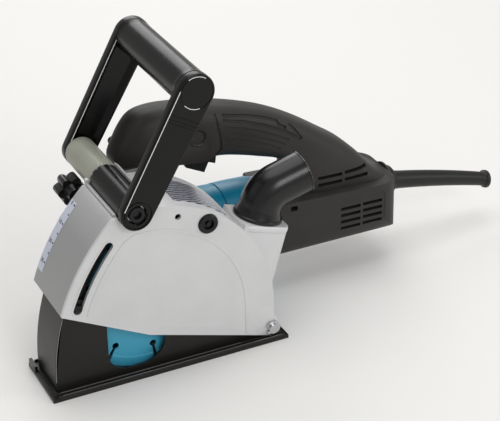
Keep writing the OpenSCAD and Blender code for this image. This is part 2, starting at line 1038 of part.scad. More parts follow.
module carbon_brushes() {
    color("#2a2a2a")
        on_motor()
            for (side = [0, 180])
                rotate([0, 0, side + 90])
                    translate([comm_r + 0.4, -3, comm_front + 5])
                        cube([11, 6, 8]);
}

// Side outline of the rear handle and motor, in X and Z
module shell_outline() {
    polygon([
        [94, 134.4], [94.5, 147], [89.5, 156], [82, 168], [73, 175.5], [57, 178.3], [43.7, 178.2],
        [2, 170.7], [-20, 164.6], [-38.3, 157.9], [-56.2, 149.5], [-93, 126.2], [-111.8, 113.2],
        [-126, 99.6], [-140, 83], [-153, 76.5], [rear_x + 3.5, 74], [rear_x, 70], [rear_x, 28],
        [rear_x + 6.5, 18.5], [-50, 24], [-50, 90], [-58, 97], [-64, 104], [-56, 110.7], [-2, 126.6],
        [40, 126.6], [58, 134.4]
    ]);
}

// The same, hollowed to the wall's thickness
module shell_cavity() {
    polygon([
        [90, 137.4], [91, 147], [79.5, 166], [71, 172.3], [57, 175.2], [44, 175], [3, 167.6],
        [-37, 155], [-54.5, 146.8], [-110, 110.5], [-123.5, 97.5], [-138, 80], [-152, 72.8],
        [rear_x + 3.5, 68], [rear_x + 3.5, 29], [rear_x + 8, 22], [-52, 27.5], [-53, 88], [-61, 96],
        [-68, 104], [-58, 113.5], [-3, 129.7], [39, 129.7], [57, 137.4]
    ]);
}

// Louvre slots through the wall on one side; way is 1 on the near side
module shell_vents(way) {
    row = 8.4;
    for (i = [0:3], j = [0, 1])
        translate([-134 + 22 * j, way > 0 ? motor_y + 20 : motor_y - shell_half - 1, 43.5 + row * i])
            rotate([0, -3, 0])
                cube([18.5, shell_half - 19, 3]);
    for (i = [0, 1], j = [0, 1])
        translate([-127 + 26 * j, way > 0 ? motor_y + 8 : motor_y - shell_half - 1, 87 + 6.4 * i])
            cube([23, shell_half - 7, 2.4]);
}

// Motor block of half-width w up to a height, its two lower edges rounded as a motor case is
module motor_block(x0, w, r, low, high) {
    long = -50 - x0;
    translate([x0, motor_y - w, low + r])
        cube([long, 2 * w, high - low - r]);
    translate([x0, motor_y - w + r, low])
        cube([long, 2 * (w - r), high - low]);
    for (way = [-1, 1])
        translate([x0, motor_y + way * (w - r), low + r])
            rotate([0, 90, 0])
                cylinder(r = r, h = long);
}

module shell_solid() {
    intersection() {
        slab(motor_y - shell_half, motor_y + shell_half)
            shell_outline();
        union() {
            motor_block(rear_x - 1, shell_half, belly_r, belly_z, shell_step_z);
            translate([rear_x - 1, motor_y - grip_half - 6, 0])
                cube([-49 - rear_x, 2 * grip_half + 12, 104]);
            translate([rear_x - 1, motor_y - grip_half, 0])
                cube([far_away, 2 * grip_half, 200]);
        }
    }
}

module shell_hollow() {
    intersection() {
        slab(motor_y - shell_half + shell_t, motor_y + shell_half - shell_t)
            shell_cavity();
        union() {
            motor_block(rear_x - 1, shell_half - shell_t, belly_r - shell_t, belly_z + shell_t,
                        shell_step_z - shell_t);
            translate([rear_x - 1, motor_y - grip_half - 6 + shell_t, 0])
                cube([-49 - rear_x, 2 * grip_half + 12 - 2 * shell_t, 101]);
            translate([rear_x - 1, motor_y - grip_half + shell_t, 0])
                cube([far_away, 2 * grip_half - 2 * shell_t, 200]);
        }
    }
    on_motor()
        translate([0, 0, field_front])
            cylinder(r = motor_r + 3, h = field_back - field_front + 0.02);
    on_motor()
        translate([0, 0, field_back - 1])
            cylinder(r = motor_r - shell_t, h = 12);
}

module trigger_opening() {
    translate([1.5, motor_y - 9, 118])
        cube([36.5, 18, 16]);
}

module button_opening() {
    bar_y(button_spot[0], button_spot[1], 5.2, motor_y + grip_half - 8, motor_y + grip_half + 1);
}

// Everything on the other side of the shells' parting plane
module other_half(way) {
    translate([-far_away, way > 0 ? motor_y - far_away : motor_y, -far_away / 2])
        cube([2 * far_away, far_away, 2 * far_away]);
}

// Seat and web that hold the armature's rear bearing in the shells
module bearing_seat() {
    motor_ring(15, 11.02, rear_bearing - 1, rear_bearing + 8);
    motor_ring(shell_half - shell_t + 0.3, 14.9, rear_bearing + 2, rear_bearing + 4.5);
}

module handle_shell(way) {
    difference() {
        shell_solid();
        shell_hollow();
        other_half(way);
        trigger_opening();
        shell_vents(way);
        if (way > 0)
            button_opening();
        on_guard()
            translate([0, 0, -6])
                cylinder(r = 7, h = 9);
        if (way < 0)
            for (spot = screw_spots)
                bar_y(spot[0], spot[1], 3.6, motor_y - shell_half - 1, screw_face(spot) + 3);
    }
    difference() {
        bearing_seat();
        other_half(way);
    }
    if (way < 0)
        for (spot = screw_spots)
            ring_y(spot[0], spot[1], 4.6, 1.9, screw_face(spot) + 2.4, motor_y - 0.02);
    else
        for (spot = screw_spots)
            ring_y(spot[0], spot[1], 4.6, 1.9, motor_y + 0.02, -screw_face(spot) + 2 * motor_y - 2.4);
}
function screw_face(spot) = motor_y - (spot[1] < shell_step_z ? shell_half : grip_half);

module handle_shell_near() {
    color("#46463f")
        handle_shell(1);
}

module handle_shell_far() {
    color("#46463f")
        handle_shell(-1);
}

module shell_screws() {
    color("dimgray")
        for (spot = screw_spots) {
            bar_y(spot[0], spot[1], 3.5, screw_face(spot) + 0.4, screw_face(spot) + 2.35);
            bar_y(spot[0], spot[1], 1.85, screw_face(spot) + 2.3, screw_face(spot) + 14);
        }
}

module switch_body() {
    color("#202022")
        translate([-28, motor_y - 10, 139])
            cube([42, 20, 17]);
}

module trigger() {
    color("#1f1f20")
        difference() {
            slab(motor_y - 8.5, motor_y + 8.5)
                polygon([[4, 133], [6, 120], [12, 122.4], [16, 114], [32, 122], [36, 133]]);
            translate([0, motor_y - 6, 128])
                cube([40, 12, 20]);
            bar_y(trigger_pivot[0], trigger_pivot[1], 1.55, motor_y - 20, motor_y + 20);
        }
}

module trigger_pin() {
    color("silver")
        bar_y(trigger_pivot[0], trigger_pivot[1], 1.5, motor_y - grip_half + shell_t + 0.1,
              motor_y + grip_half - shell_t - 0.1);
}

module lock_off_button() {
    color("#3a3a38")
        union() {
            bar_y(button_spot[0], button_spot[1], 4.8, motor_y + grip_half - 6, motor_y + grip_half - 0.3);
            bar_y(button_spot[0], button_spot[1], 6.2, motor_y + grip_half - 7, motor_y + grip_half - 4);
        }
}

// ---------------------------------------------------------------- cord guard

// Children drawn with +Z out along the cord guard, from the motor's rear wall
module on_guard() {
    translate([guard_back, motor_y, guard_z])
        rotate([0, -90 - guard_slope, 0])
            children();
}

module cord_guard() {
    cord_r = 4.1;
    color("#1d1d1e")
        on_guard()
            difference() {
                union() {
                    translate([0, 0, 1.6])
                        cylinder(r1 = 7.8, r2 = 6.5, h = guard_len - 1.6);
                    translate([0, 0, -7])
                        cylinder(r = 6.8, h = 9);
                    translate([0, 0, -8])
                        cylinder(r = 8.6, h = 2.6);
                    translate([0, 0, guard_len - 4])
                        cylinder(r = 8.3, h = 4);
                }
                translate([0, 0, -10])
                    cylinder(r = cord_r, h = guard_len + 11);
            }
}

// ---------------------------------------------------------------- nodes

base_shoe();
pivot_pin();
pivot_clips();
pivot_spring();
guide_pins();
wheel_cover();
side_cover();
side_cover_screws();
cover_flange_screws();
name_plate();
depth_scale();
depth_stop();
depth_stop_stud();
depth_knob();
handle_arm_near();
handle_arm_far();
handle_grip();
handle_rod();
handle_boss();
handle_axle();
handle_bolts();
dust_nozzle();
nozzle_seal();
gear_housing();
bearing_box();
housing_screws();
spindle();
crown_gear();
spindle_bearing_near();
spindle_bearing_far();
inner_flange();
wheel_far();
wheel_spacers();
wheel_near();
lock_nut();
shaft_lock_button();
armature_shaft();
armature_core();
commutator();
cooling_fan();
pinion();
armature_bearing_front();
armature_bearing_rear();
field_stator();
field_housing();
brush_holders();
carbon_brushes();
handle_shell_near();
handle_shell_far();
shell_screws();
switch_body();
trigger();
trigger_pin();
lock_off_button();
cord_guard();
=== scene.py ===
"""Looks of a two-wheel wall chaser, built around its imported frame.

Every piece is modelled in millimetres in the frame's axes: X forward along the cut, Y to the open side of
the wheel cover, Z up from the sole. It is scaled to metres once, when it is published.
"""

from __future__ import annotations

import json
import logging
import math
from dataclasses import dataclass, field
from enum import Enum
from typing import Callable, Iterable

import bmesh
import bpy
from bmesh.types import BMesh
from mathutils import Matrix, Vector
from mathutils.bvhtree import BVHTree

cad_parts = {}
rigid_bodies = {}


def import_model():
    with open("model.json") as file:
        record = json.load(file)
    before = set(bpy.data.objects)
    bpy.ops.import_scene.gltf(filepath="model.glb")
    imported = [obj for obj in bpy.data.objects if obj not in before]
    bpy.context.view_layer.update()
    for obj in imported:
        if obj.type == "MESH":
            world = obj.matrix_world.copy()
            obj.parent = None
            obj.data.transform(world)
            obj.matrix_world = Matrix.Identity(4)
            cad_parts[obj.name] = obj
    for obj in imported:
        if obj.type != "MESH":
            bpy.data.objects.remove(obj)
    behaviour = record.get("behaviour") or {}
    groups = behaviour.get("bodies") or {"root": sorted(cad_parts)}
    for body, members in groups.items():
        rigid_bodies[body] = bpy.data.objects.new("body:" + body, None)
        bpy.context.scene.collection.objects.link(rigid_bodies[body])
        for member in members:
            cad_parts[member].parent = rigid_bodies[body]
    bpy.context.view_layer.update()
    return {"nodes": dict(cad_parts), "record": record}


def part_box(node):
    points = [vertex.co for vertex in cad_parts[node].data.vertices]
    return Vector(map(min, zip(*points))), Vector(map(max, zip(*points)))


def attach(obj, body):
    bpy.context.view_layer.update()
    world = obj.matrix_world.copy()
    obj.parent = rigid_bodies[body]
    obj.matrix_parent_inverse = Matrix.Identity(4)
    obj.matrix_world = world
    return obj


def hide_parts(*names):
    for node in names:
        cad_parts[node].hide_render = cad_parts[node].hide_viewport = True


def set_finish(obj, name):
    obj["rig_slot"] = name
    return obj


LOG = logging.getLogger("wall_chaser")
METRE = 0.001
ROUND = 64
MOTOR_TILT = 3.2
Outline = list[tuple[float, float]]


class Side(Enum):
    """The two sides of the tool: near is the open side of the cover, far the motor side."""

    NEAR = 1
    FAR = -1


class Texture(Enum):
    """How a finish's surface is broken up."""

    MOULDED = "moulded"
    BRUSHED = "brushed"
    STRIPED = "striped"


# ---------------------------------------------------------------- finishes


def linear(channel: float) -> float:
    """Turns a display value from 0 to 255 into a linear one."""
    share = channel / 255.0
    return share / 12.92 if share <= 0.04045 else ((share + 0.055) / 1.055) ** 2.4


Nodes = bpy.types.Nodes
Links = bpy.types.NodeLinks
Socket = bpy.types.NodeSocket
Colour = tuple[float, float, float, float]


@dataclass(frozen=True)
class Finish:
    """One surface finish, which builds its own node material."""

    name: str
    colour: tuple[int, int, int]
    roughness: float
    metallic: float = 0.0
    texture: Texture = Texture.MOULDED
    grain: float = 900.0
    relief: float = 0.12
    mottle: float = 0.08
    # How much the sharp edges brighten: partly rubbed paint, partly painted highlight.
    edge_wear_and_sheen: float = 0.0
    shine: float = 0.5
    # Strength of the painted shade towards a casting's front face.
    painted_front_shade: float = 0.0
    second: tuple[int, int, int] = (60, 62, 80)

    def tint(self, gain: float) -> Colour:
        """The finish's colour, brightened by gain, with alpha."""
        red, green, blue = (min(1.0, linear(c) * gain) for c in self.colour)
        return (red, green, blue, 1.0)

    def build(self) -> bpy.types.Material:
        """Makes the node material.

        Returns:
            The material, which reads Object coordinates only.
        """
        material = bpy.data.materials.new(self.name)
        material.use_nodes = True
        nodes, links = material.node_tree.nodes, material.node_tree.links
        shader = nodes["Principled BSDF"]
        shader.inputs["Metallic"].default_value = self.metallic
        shader.inputs["Specular IOR Level"].default_value = self.shine
        place = nodes.new("ShaderNodeTexCoord")
        stretch = nodes.new("ShaderNodeMapping")
        if self.texture is Texture.BRUSHED:
            stretch.inputs["Scale"].default_value = (1.0, 14.0, 1.0)
        links.new(place.outputs["Object"], stretch.inputs["Vector"])
        cloud = self.noise(nodes, links, stretch, self.grain * 0.035, 3.0)
        colour = self.ramp(nodes, links, cloud, self.tint(1 - self.mottle), self.tint(1 + self.mottle))
        result = colour.outputs["Color"]
        if self.texture is Texture.STRIPED:
            result = self.stripes(nodes, links, place, result)
        # Brightened edges: partly rubbed paint, partly painted highlight.
        if self.edge_wear_and_sheen > 0:
            result = self.worn_and_sheen_edges(nodes, links, result)
        # Painted shade: the casting darkens towards its front.
        if self.painted_front_shade > 0:
            result = self.with_painted_front_shade(nodes, links, place, result)
        links.new(result, shader.inputs["Base Color"])
        fine = self.noise(nodes, links, stretch, self.grain, 2.0)
        spread = nodes.new("ShaderNodeMapRange")
        spread.inputs["To Min"].default_value = max(0.02, self.roughness - 0.06)
        spread.inputs["To Max"].default_value = min(1.0, self.roughness + 0.06)
        links.new(cloud.outputs["Fac"], spread.inputs["Value"])
        links.new(spread.outputs["Result"], shader.inputs["Roughness"])
        bump = nodes.new("ShaderNodeBump")
        bump.inputs["Strength"].default_value = self.relief
        bump.inputs["Distance"].default_value = 0.0003
        links.new(fine.outputs["Fac"], bump.inputs["Height"])
        links.new(bump.outputs["Normal"], shader.inputs["Normal"])
        return material

    @staticmethod
    def noise(
        nodes: Nodes, links: Links, source: bpy.types.Node, scale: float, detail: float
    ) -> bpy.types.Node:
        """Adds a noise texture.

        Args:
            nodes: The material's nodes.
            links: The material's links.
            source: The node whose first output places the noise.
            scale: How fine the noise is.
            detail: How many finer layers lie over it.

        Returns:
            The noise node.
        """
        made = nodes.new("ShaderNodeTexNoise")
        made.inputs["Scale"].default_value = scale
        made.inputs["Detail"].default_value = detail
        links.new(source.outputs[0], made.inputs["Vector"])
        return made

    @staticmethod
    def ramp(nodes: Nodes, links: Links, source: bpy.types.Node, low: Colour, high: Colour) -> bpy.types.Node:
        """Adds a colour ramp.

        Args:
            nodes: The material's nodes.
            links: The material's links.
            source: The node whose factor drives the ramp.
            low: The colour at the factor's low end.
            high: The colour at its high end.

        Returns:
            The ramp node.
        """
        made = nodes.new("ShaderNodeValToRGB")
        made.color_ramp.elements[0].position = 0.3
        made.color_ramp.elements[1].position = 0.7
        made.color_ramp.elements[0].color = low
        made.color_ramp.elements[1].color = high
        links.new(source.outputs["Fac"], made.inputs["Fac"])
        return made

    @staticmethod
    def mixed(nodes: Nodes, links: Links, share: Socket, under: Socket, over: Colour) -> Socket:
        """Lays one colour over another.

        Args:
            nodes: The material's nodes.
            links: The material's links.
            share: How much of the upper colour shows.
            under: The lower colour.
            over: The upper colour.

        Returns:
            The mixed colour.
        """
        mix = nodes.new("ShaderNodeMixRGB")
        mix.inputs["Color2"].default_value = over
        links.new(share, mix.inputs["Fac"])
        links.new(under, mix.inputs["Color1"])
        return mix.outputs["Color"]

    def worn_and_sheen_edges(self, nodes: Nodes, links: Links, under: Socket) -> Socket:
        """Brightens the sharp edges: partly paint rubbed thin, partly a painted highlight where the edges
        catch the light.

        Args:
            nodes: The material's nodes.
            links: The material's links.
            under: The paint's colour.

        Returns:
            The colour with its brightened edges.
        """
        shape = nodes.new("ShaderNodeNewGeometry")
        edge = nodes.new("ShaderNodeMapRange")
        edge.inputs["From Min"].default_value = 0.53
        edge.inputs["From Max"].default_value = 0.62
        edge.inputs["To Max"].default_value = self.edge_wear_and_sheen
        links.new(shape.outputs["Pointiness"], edge.inputs["Value"])
        return self.mixed(nodes, links, edge.outputs["Result"], under, self.tint(3.5))

    def with_painted_front_shade(self, nodes: Nodes, links: Links, place: bpy.types.Node, under: Socket) -> Socket:
        """Paints shade on the part of a casting that lies well forward, where its front face turns from the
        light.

        Args:
            nodes: The material's nodes.
            links: The material's links.
            place: The texture coordinates.
            under: The casting's colour.

        Returns:
            The colour, darker towards the front.
        """
        split = nodes.new("ShaderNodeSeparateXYZ")
        links.new(place.outputs["Object"], split.inputs["Vector"])
        ahead = nodes.new("ShaderNodeMapRange")
        ahead.inputs["From Min"].default_value = 0.105
        ahead.inputs["From Max"].default_value = 0.150
        ahead.inputs["To Max"].default_value = self.painted_front_shade
        links.new(split.outputs["X"], ahead.inputs["Value"])
        return self.mixed(nodes, links, ahead.outputs["Result"], under, self.tint(0.35))

    def stripes(self, nodes: Nodes, links: Links, place: bpy.types.Node, under: Socket) -> Socket:
        """Lays slanting bars over the colour.

        Args:
            nodes: The material's nodes.
            links: The material's links.
            place: The texture coordinates.
            under: The plate's colour.

        Returns:
            The striped colour.
        """
        turn = nodes.new("ShaderNodeMapping")
        turn.inputs["Rotation"].default_value = (0.0, 0.0, math.radians(68))
        links.new(place.outputs["Object"], turn.inputs["Vector"])
        wave = nodes.new("ShaderNodeTexWave")
        for name, value in (("Scale", 105.0), ("Distortion", 2.5), ("Detail", 3.0), ("Detail Scale", 2.5)):
            wave.inputs[name].default_value = value
        links.new(turn.outputs["Vector"], wave.inputs["Vector"])
        bars = nodes.new("ShaderNodeValToRGB")
        bars.color_ramp.elements[0].position = 0.35
        bars.color_ramp.elements[1].position = 0.6
        links.new(wave.outputs["Fac"], bars.inputs["Fac"])
        over = (*[linear(c) for c in self.second], 1.0)
        return self.mixed(nodes, links, bars.outputs["Color"], under, over)


class Finishes:
    """All the tool's finishes by material slot, each built once when it is first asked for."""

    def __init__(self) -> None:
        """Lists the finishes."""
        brushed = Texture.BRUSHED
        rows = [
            # black_steel's sharp edges brighten: partly rubbed paint, partly painted highlight.
            Finish("black_steel", (26, 25, 23), 0.36, 0.1, grain=1400, relief=0.10, edge_wear_and_sheen=0.25, shine=0.3),
            Finish("silver_casting", (206, 206, 207), 0.40, 0.25, grain=1100, relief=0.10, mottle=0.03),
            # A copy of silver_casting with painted shade towards its front face.
            Finish("cover_casting", (206, 206, 207), 0.42, 0.25, grain=1100, relief=0.14, mottle=0.03,
                   painted_front_shade=0.72),
            Finish("bare_casting", (176, 175, 170), 0.48, 0.75, grain=700, relief=0.35),
            Finish("bright_steel", (198, 198, 200), 0.22, 1.0, brushed, relief=0.10),
            Finish("black_bolt", (30, 30, 32), 0.26, 0.6, relief=0.06),
            Finish("gear_steel", (128, 126, 124), 0.30, 1.0, brushed),
            # A bright grey for thin strips that stand for edge reflections: painted highlights.
            Finish("edge_steel", (150, 150, 147), 0.25, 0.3, relief=0.02),
            Finish("handle_black", (11, 10, 9), 0.26, grain=1700, relief=0.05, shine=0.25),
            # A bright finish for thin strips that stand for reflections: painted highlights.
            Finish("seam_line", (225, 225, 222), 0.25, grain=1700, relief=0.02, mottle=0.02),
            Finish("nozzle_black", (15, 15, 15), 0.26, grain=1500, relief=0.05, shine=0.4),
            Finish("knob_black", (16, 16, 16), 0.28, grain=1500, relief=0.06, shine=0.4),
            Finish("shell_grey", (44, 42, 40), 0.50, grain=2200, relief=0.35, mottle=0.10, shine=0.30),
            Finish("switch_black", (22, 22, 22), 0.40, grain=1800, relief=0.10, shine=0.35),
            Finish("teal_plastic", (0, 134, 170), 0.34, grain=1800, relief=0.10, mottle=0.05, shine=0.4),
            Finish("wheel_teal", (62, 158, 188), 0.34, 0.1, grain=900, relief=0.08, mottle=0.05),
            Finish("rubber_black", (24, 24, 23), 0.40, grain=1600, relief=0.12, shine=0.35),
            Finish("plate_foil", (188, 190, 198), 0.30, 0.4, Texture.STRIPED, relief=0.03),
            Finish("scale_foil", (196, 202, 216), 0.40, 0.1, relief=0.02, mottle=0.02),
            Finish("tube_paint", (150, 151, 138), 0.42, 0.1, grain=1200, relief=0.10, mottle=0.06),
            Finish("mark_ink", (28, 28, 32), 0.5, relief=0.02),
            Finish("core_steel", (120, 108, 96), 0.45, 0.8, brushed, relief=0.4),
            Finish("copper", (190, 112, 72), 0.28, 1.0, brushed),
            Finish("brass", (184, 150, 90), 0.32, 1.0, brushed),
            Finish("carbon", (30, 30, 30), 0.7),
            Finish("fan_plastic", (190, 182, 156), 0.5),
        ]
        self.rows = {row.name: row for row in rows}
        self.made: dict[str, bpy.types.Material] = {}

    def __getitem__(self, name: str) -> bpy.types.Material:
        """The material of that name."""
        if name not in self.made:
            self.made[name] = self.rows[name].build()
        return self.made[name]


# ---------------------------------------------------------------- layout


@dataclass
class Layout:
    """Places of the main parts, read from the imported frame, in millimetres."""

    pivot: Vector = field(init=False)
    spindle: Vector = field(init=False)
    axle: Vector = field(init=False)
    rod: Vector = field(init=False)
    cover_near: float = field(init=False)
    motor_y: float = field(init=False)

    def __post_init__(self) -> None:
        """Measures the nodes that the rest is placed from."""
        self.pivot = self.centre("pivot_pin")
        self.spindle = self.centre("wheel_near")
        self.axle = self.centre("handle_axle")
        self.rod = self.centre("handle_rod")
        self.cover_near = self.corners("side_cover")[1].y
        self.motor_y = self.centre("switch_body").y

    @staticmethod
    def corners(node: str) -> tuple[Vector, Vector]:
        """A node's lowest and highest corner, in millimetres."""
        low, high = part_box(node)
        return low / METRE, high / METRE

    @classmethod
    def centre(cls, node: str) -> Vector:
        """The middle of a node's box, in millimetres."""
        low, high = cls.corners(node)
        return (low + high) / 2

    def motor_place(self) -> Matrix:
        """The motor's own axes: Z runs back from the spindle, tilted down with the motor."""
        start = Matrix.Translation((self.spindle.x, self.motor_y, self.spindle.z))
        return start @ Matrix.Rotation(-math.pi / 2 - math.radians(MOTOR_TILT), 4, "Y")


# ---------------------------------------------------------------- outlines


def on_circle(centre: tuple[float, float], radius: float, degrees: float) -> tuple[float, float]:
    """The point of a circle at an angle."""
    angle = math.radians(degrees)
    return (centre[0] + radius * math.cos(angle), centre[1] + radius * math.sin(angle))


def arc(centre: tuple[float, float], radius: float, start: float, end: float, steps: int = 24) -> Outline:
    """Points along an arc.

    Args:
        centre: The arc's centre, across and up.
        radius: Its radius.
        start: The first point's angle in degrees.
        end: The last point's angle in degrees.
        steps: Straight stretches in the arc.

    Returns:
        The points, both ends included.
    """
    return [on_circle(centre, radius, start + (end - start) * i / steps) for i in range(steps + 1)]


def rounded(corners: Iterable[tuple[float, float, float]], steps: int = 6) -> Outline:
    """A closed outline whose corners are rounded.

    Args:
        corners: Each corner as across, up and its radius.
        steps: Straight stretches in each rounded corner.

    Returns:
        The outline's points.
    """
    rows = list(corners)
    points: Outline = []
    for i, (x, z, radius) in enumerate(rows):
        here = Vector((x, z))
        before = (Vector(rows[i - 1][:2]) - here).normalized()
        after = (Vector(rows[(i + 1) % len(rows)][:2]) - here).normalized()
        half = before.angle(after) / 2
        if radius <= 0 or half > math.radians(89):
            points.append((x, z))
            continue
        reach = radius / math.tan(half)
        first, last = here + before * reach, here + after * reach
        for k in range(steps + 1):
            t = k / steps
            spot = first * (1 - t) ** 2 + here * 2 * t * (1 - t) + last * t**2
            points.append((spot.x, spot.y))
    return points


def capsule(a: Vector, a_r: float, b: Vector, b_r: float, steps: int = 20) -> Outline:
    """The outline round two circles of different size, as on a forged arm.

    Args:
        a: First centre.
        a_r: First radius.
        b: Second centre.
        b_r: Second radius.
        steps: Straight stretches in each end.

    Returns:
        The outline's points.
    """
    along = Vector((b.x - a.x, b.z - a.z))
    heading = math.degrees(math.atan2(along.y, along.x))
    lean = math.degrees(math.acos((a_r - b_r) / along.length))
    first = arc((a.x, a.z), a_r, heading + lean, heading + 360 - lean, steps)
    second = arc((b.x, b.z), b_r, heading - lean, heading + lean, steps)
    return first + second


def slot_outline(
    centre: tuple[float, float], radius: float, width: float, low: float, high: float
) -> Outline:
    """An arc slot with round ends, seen from the side.

    Args:
        centre: The arc's centre.
        radius: Radius of the slot's middle line.
        width: The slot's width.
        low: Lower end in degrees.
        high: Upper end in degrees.

    Returns:
        The outline's points.
    """
    top, foot = on_circle(centre, radius, high), on_circle(centre, radius, low)
    outer = arc(centre, radius + width / 2, low, high)
    inner = arc(centre, radius - width / 2, high, low)
    upper_end = arc(top, width / 2, high, high + 180, 8)[1:-1]
    lower_end = arc(foot, width / 2, low + 180, low + 360, 8)[1:-1]
    return outer + upper_end + inner + lower_end


def strip(route: Outline, width: float) -> Outline:
    """The outline of a band of even width laid along a route.

    Args:
        route: The band's middle line.
        width: Its width.

    Returns:
        The outline's points.
    """
    left, right = [], []
    for i, (x, z) in enumerate(route):
        ahead = (Vector(route[min(i + 1, len(route) - 1)]) - Vector(route[max(i - 1, 0)])).normalized()
        side = Vector((-ahead.y, ahead.x)) * width / 2
        left.append((x + side.x, z + side.y))
        right.append((x - side.x, z - side.y))
    return left + right[::-1]


# ---------------------------------------------------------------- mesh work


def drawn_out(made: BMesh, face: bmesh.types.BMFace, way: Vector) -> BMesh:
    """Draws a mesh's one face out into a closed solid.

    Args:
        made: The mesh.
        face: Its face.
        way: Where the far end goes, from the face.

    Returns:
        The same mesh.
    """
    grown = bmesh.ops.extrude_face_region(made, geom=[face])["geom"]
    bmesh.ops.translate(made, verts=[g for g in grown if isinstance(g, bmesh.types.BMVert)], vec=way)
    bmesh.ops.recalc_face_normals(made, faces=made.faces)
    return made


def plate(outline: Outline, y0: float, y1: float) -> BMesh:
    """A flat piece: an outline in X and Z, with thickness along Y.

    Args:
        outline: The points, in order round the piece.
        y0: One face.
        y1: The other face.

    Returns:
        The closed mesh.
    """
    made = bmesh.new()
    face = made.faces.new([made.verts.new((x, y0, z)) for x, z in outline])
    return drawn_out(made, face, Vector((0, y1 - y0, 0)))


def rod(x: float, z: float, radius: float, y0: float, y1: float, sides: int = ROUND) -> BMesh:
    """A round bar along Y.

    Args:
        x: The axis, across.
        z: The axis, up.
        radius: The bar's radius.
        y0: One end.
        y1: The other end.
        sides: Facets round the bar.

    Returns:
        The closed mesh.
    """
    made = bmesh.new()
    place = Matrix.Translation((x, (y0 + y1) / 2, z)) @ Matrix.Rotation(math.radians(90), 4, "X")
    bmesh.ops.create_cone(
        made, cap_ends=True, segments=sides, radius1=radius, radius2=radius, depth=abs(y1 - y0), matrix=place
    )
    return made


def box(low: tuple[float, float, float], high: tuple[float, float, float]) -> BMesh:
    """A block between two corners.

    Args:
        low: The lowest corner.
        high: The highest corner.

    Returns:
        The closed mesh.
    """
    made = bmesh.new()
    size = Vector(high) - Vector(low)
    middle = (Vector(high) + Vector(low)) / 2
    bmesh.ops.create_cube(made, size=1.0, matrix=Matrix.Translation(middle) @ Matrix.Diagonal((*size, 1)))
    return made


def turned(profile: Outline, place: Matrix, steps: int = ROUND) -> BMesh:
    """A piece turned about its own Z axis.

    Args:
        profile: Radius and height of each point, from one end to the other.
        place: Where the turned piece goes.
        steps: Facets round the axis.

    Returns:
        The mesh, closed where the profile meets the axis or itself.
    """
    made = bmesh.new()
    verts = [made.verts.new((r, 0, h)) for r, h in profile]
    edges = [made.edges.new(pair) for pair in zip(verts, verts[1:])]
    bmesh.ops.spin(
        made, geom=verts + edges, cent=(0, 0, 0), axis=(0, 0, 1), angle=math.tau, steps=steps, use_merge=True
    )
    bmesh.ops.remove_doubles(made, verts=made.verts, dist=0.001)
    bmesh.ops.transform(made, matrix=place, verts=made.verts)
    bmesh.ops.recalc_face_normals(made, faces=made.faces)
    return made


def along_y(x: float, y: float, z: float, way: int = 1) -> Matrix:
    """A place whose Z axis runs along Y, towards the near side when way is 1."""
    return Matrix.Translation((x, y, z)) @ Matrix.Rotation(math.radians(-90 * way), 4, "X")


def soften(made: BMesh, width: float, segments: int = 3, sharper_than: float = 40.0,
           only: Callable[[bmesh.types.BMEdge], bool] | None = None) -> BMesh:
    """Rounds the sharp edges.

    Args:
        made: The mesh.
        width: How far the round reaches from the edge.
        segments: Facets across the round.
        sharper_than: Edges that turn less than this many degrees stay.
        only: A further test that an edge has to pass.

    Returns:
        The same mesh.
    """
    limit = math.radians(sharper_than)
    edges = [
        e for e in made.edges
        if len(e.link_faces) == 2 and e.calc_face_angle(0) > limit and (only is None or only(e))
    ]
    bmesh.ops.bevel(
        made, geom=edges, offset=width, offset_type="OFFSET", segments=segments, profile=0.5,
        affect="EDGES", clamp_overlap=True, material=-1,
    )
    return made


def inset_face(made: BMesh, pick: Callable[[bmesh.types.BMFace], bool], margin: float, depth: float) -> BMesh:
    """Sinks or raises a panel inside each picked face.

    Args:
        made: The mesh.
        pick: Says which faces take a panel.
        margin: Width of the border left round the panel.
        depth: How far the panel stands out, negative to sink it.

    Returns:
        The same mesh.
    """
    faces = [f for f in made.faces if pick(f)]
    bmesh.ops.inset_region(made, faces=faces, thickness=margin, depth=0.0, use_even_offset=True)
    bmesh.ops.inset_region(made, faces=faces, thickness=abs(depth) * 0.6, depth=depth, use_even_offset=True)
    return made


def joined(pieces: Iterable[BMesh]) -> BMesh:
    """Several closed meshes in one, side by side.

    Args:
        pieces: The meshes, which are freed.

    Returns:
        The one mesh.
    """
    made = bmesh.new()
    for piece in pieces:
        holder = bpy.data.meshes.new("holder")
        piece.to_mesh(holder)
        piece.free()
        made.from_mesh(holder)
        bpy.data.meshes.remove(holder)
    return made


def combined(base: BMesh, tool: BMesh, operation: str) -> BMesh:
    """Adds a closed mesh to another, or cuts it away.

    Args:
        base: The piece.
        tool: What is added or cut away.
        operation: UNION or DIFFERENCE.

    Returns:
        The new mesh. Both old ones are freed.
    """
    holders = []
    for name, source in (("base", base), ("tool", tool)):
        mesh = bpy.data.meshes.new(name)
        source.to_mesh(mesh)
        source.free()
        holder = bpy.data.objects.new(name, mesh)
        bpy.context.scene.collection.objects.link(holder)
        holders.append(holder)
    work = holders[0].modifiers.new("work", "BOOLEAN")
    work.operation, work.solver, work.object = operation, "EXACT", holders[1]
    work.use_self = operation == "DIFFERENCE"
    bpy.context.view_layer.update()
    result = holders[0].evaluated_get(bpy.context.evaluated_depsgraph_get()).to_mesh()
    made = bmesh.new()
    made.from_mesh(result)
    for holder in holders:
        mesh = holder.data
        bpy.data.objects.remove(holder)
        bpy.data.meshes.remove(mesh)
    bmesh.ops.remove_doubles(made, verts=made.verts, dist=0.002)
    return made


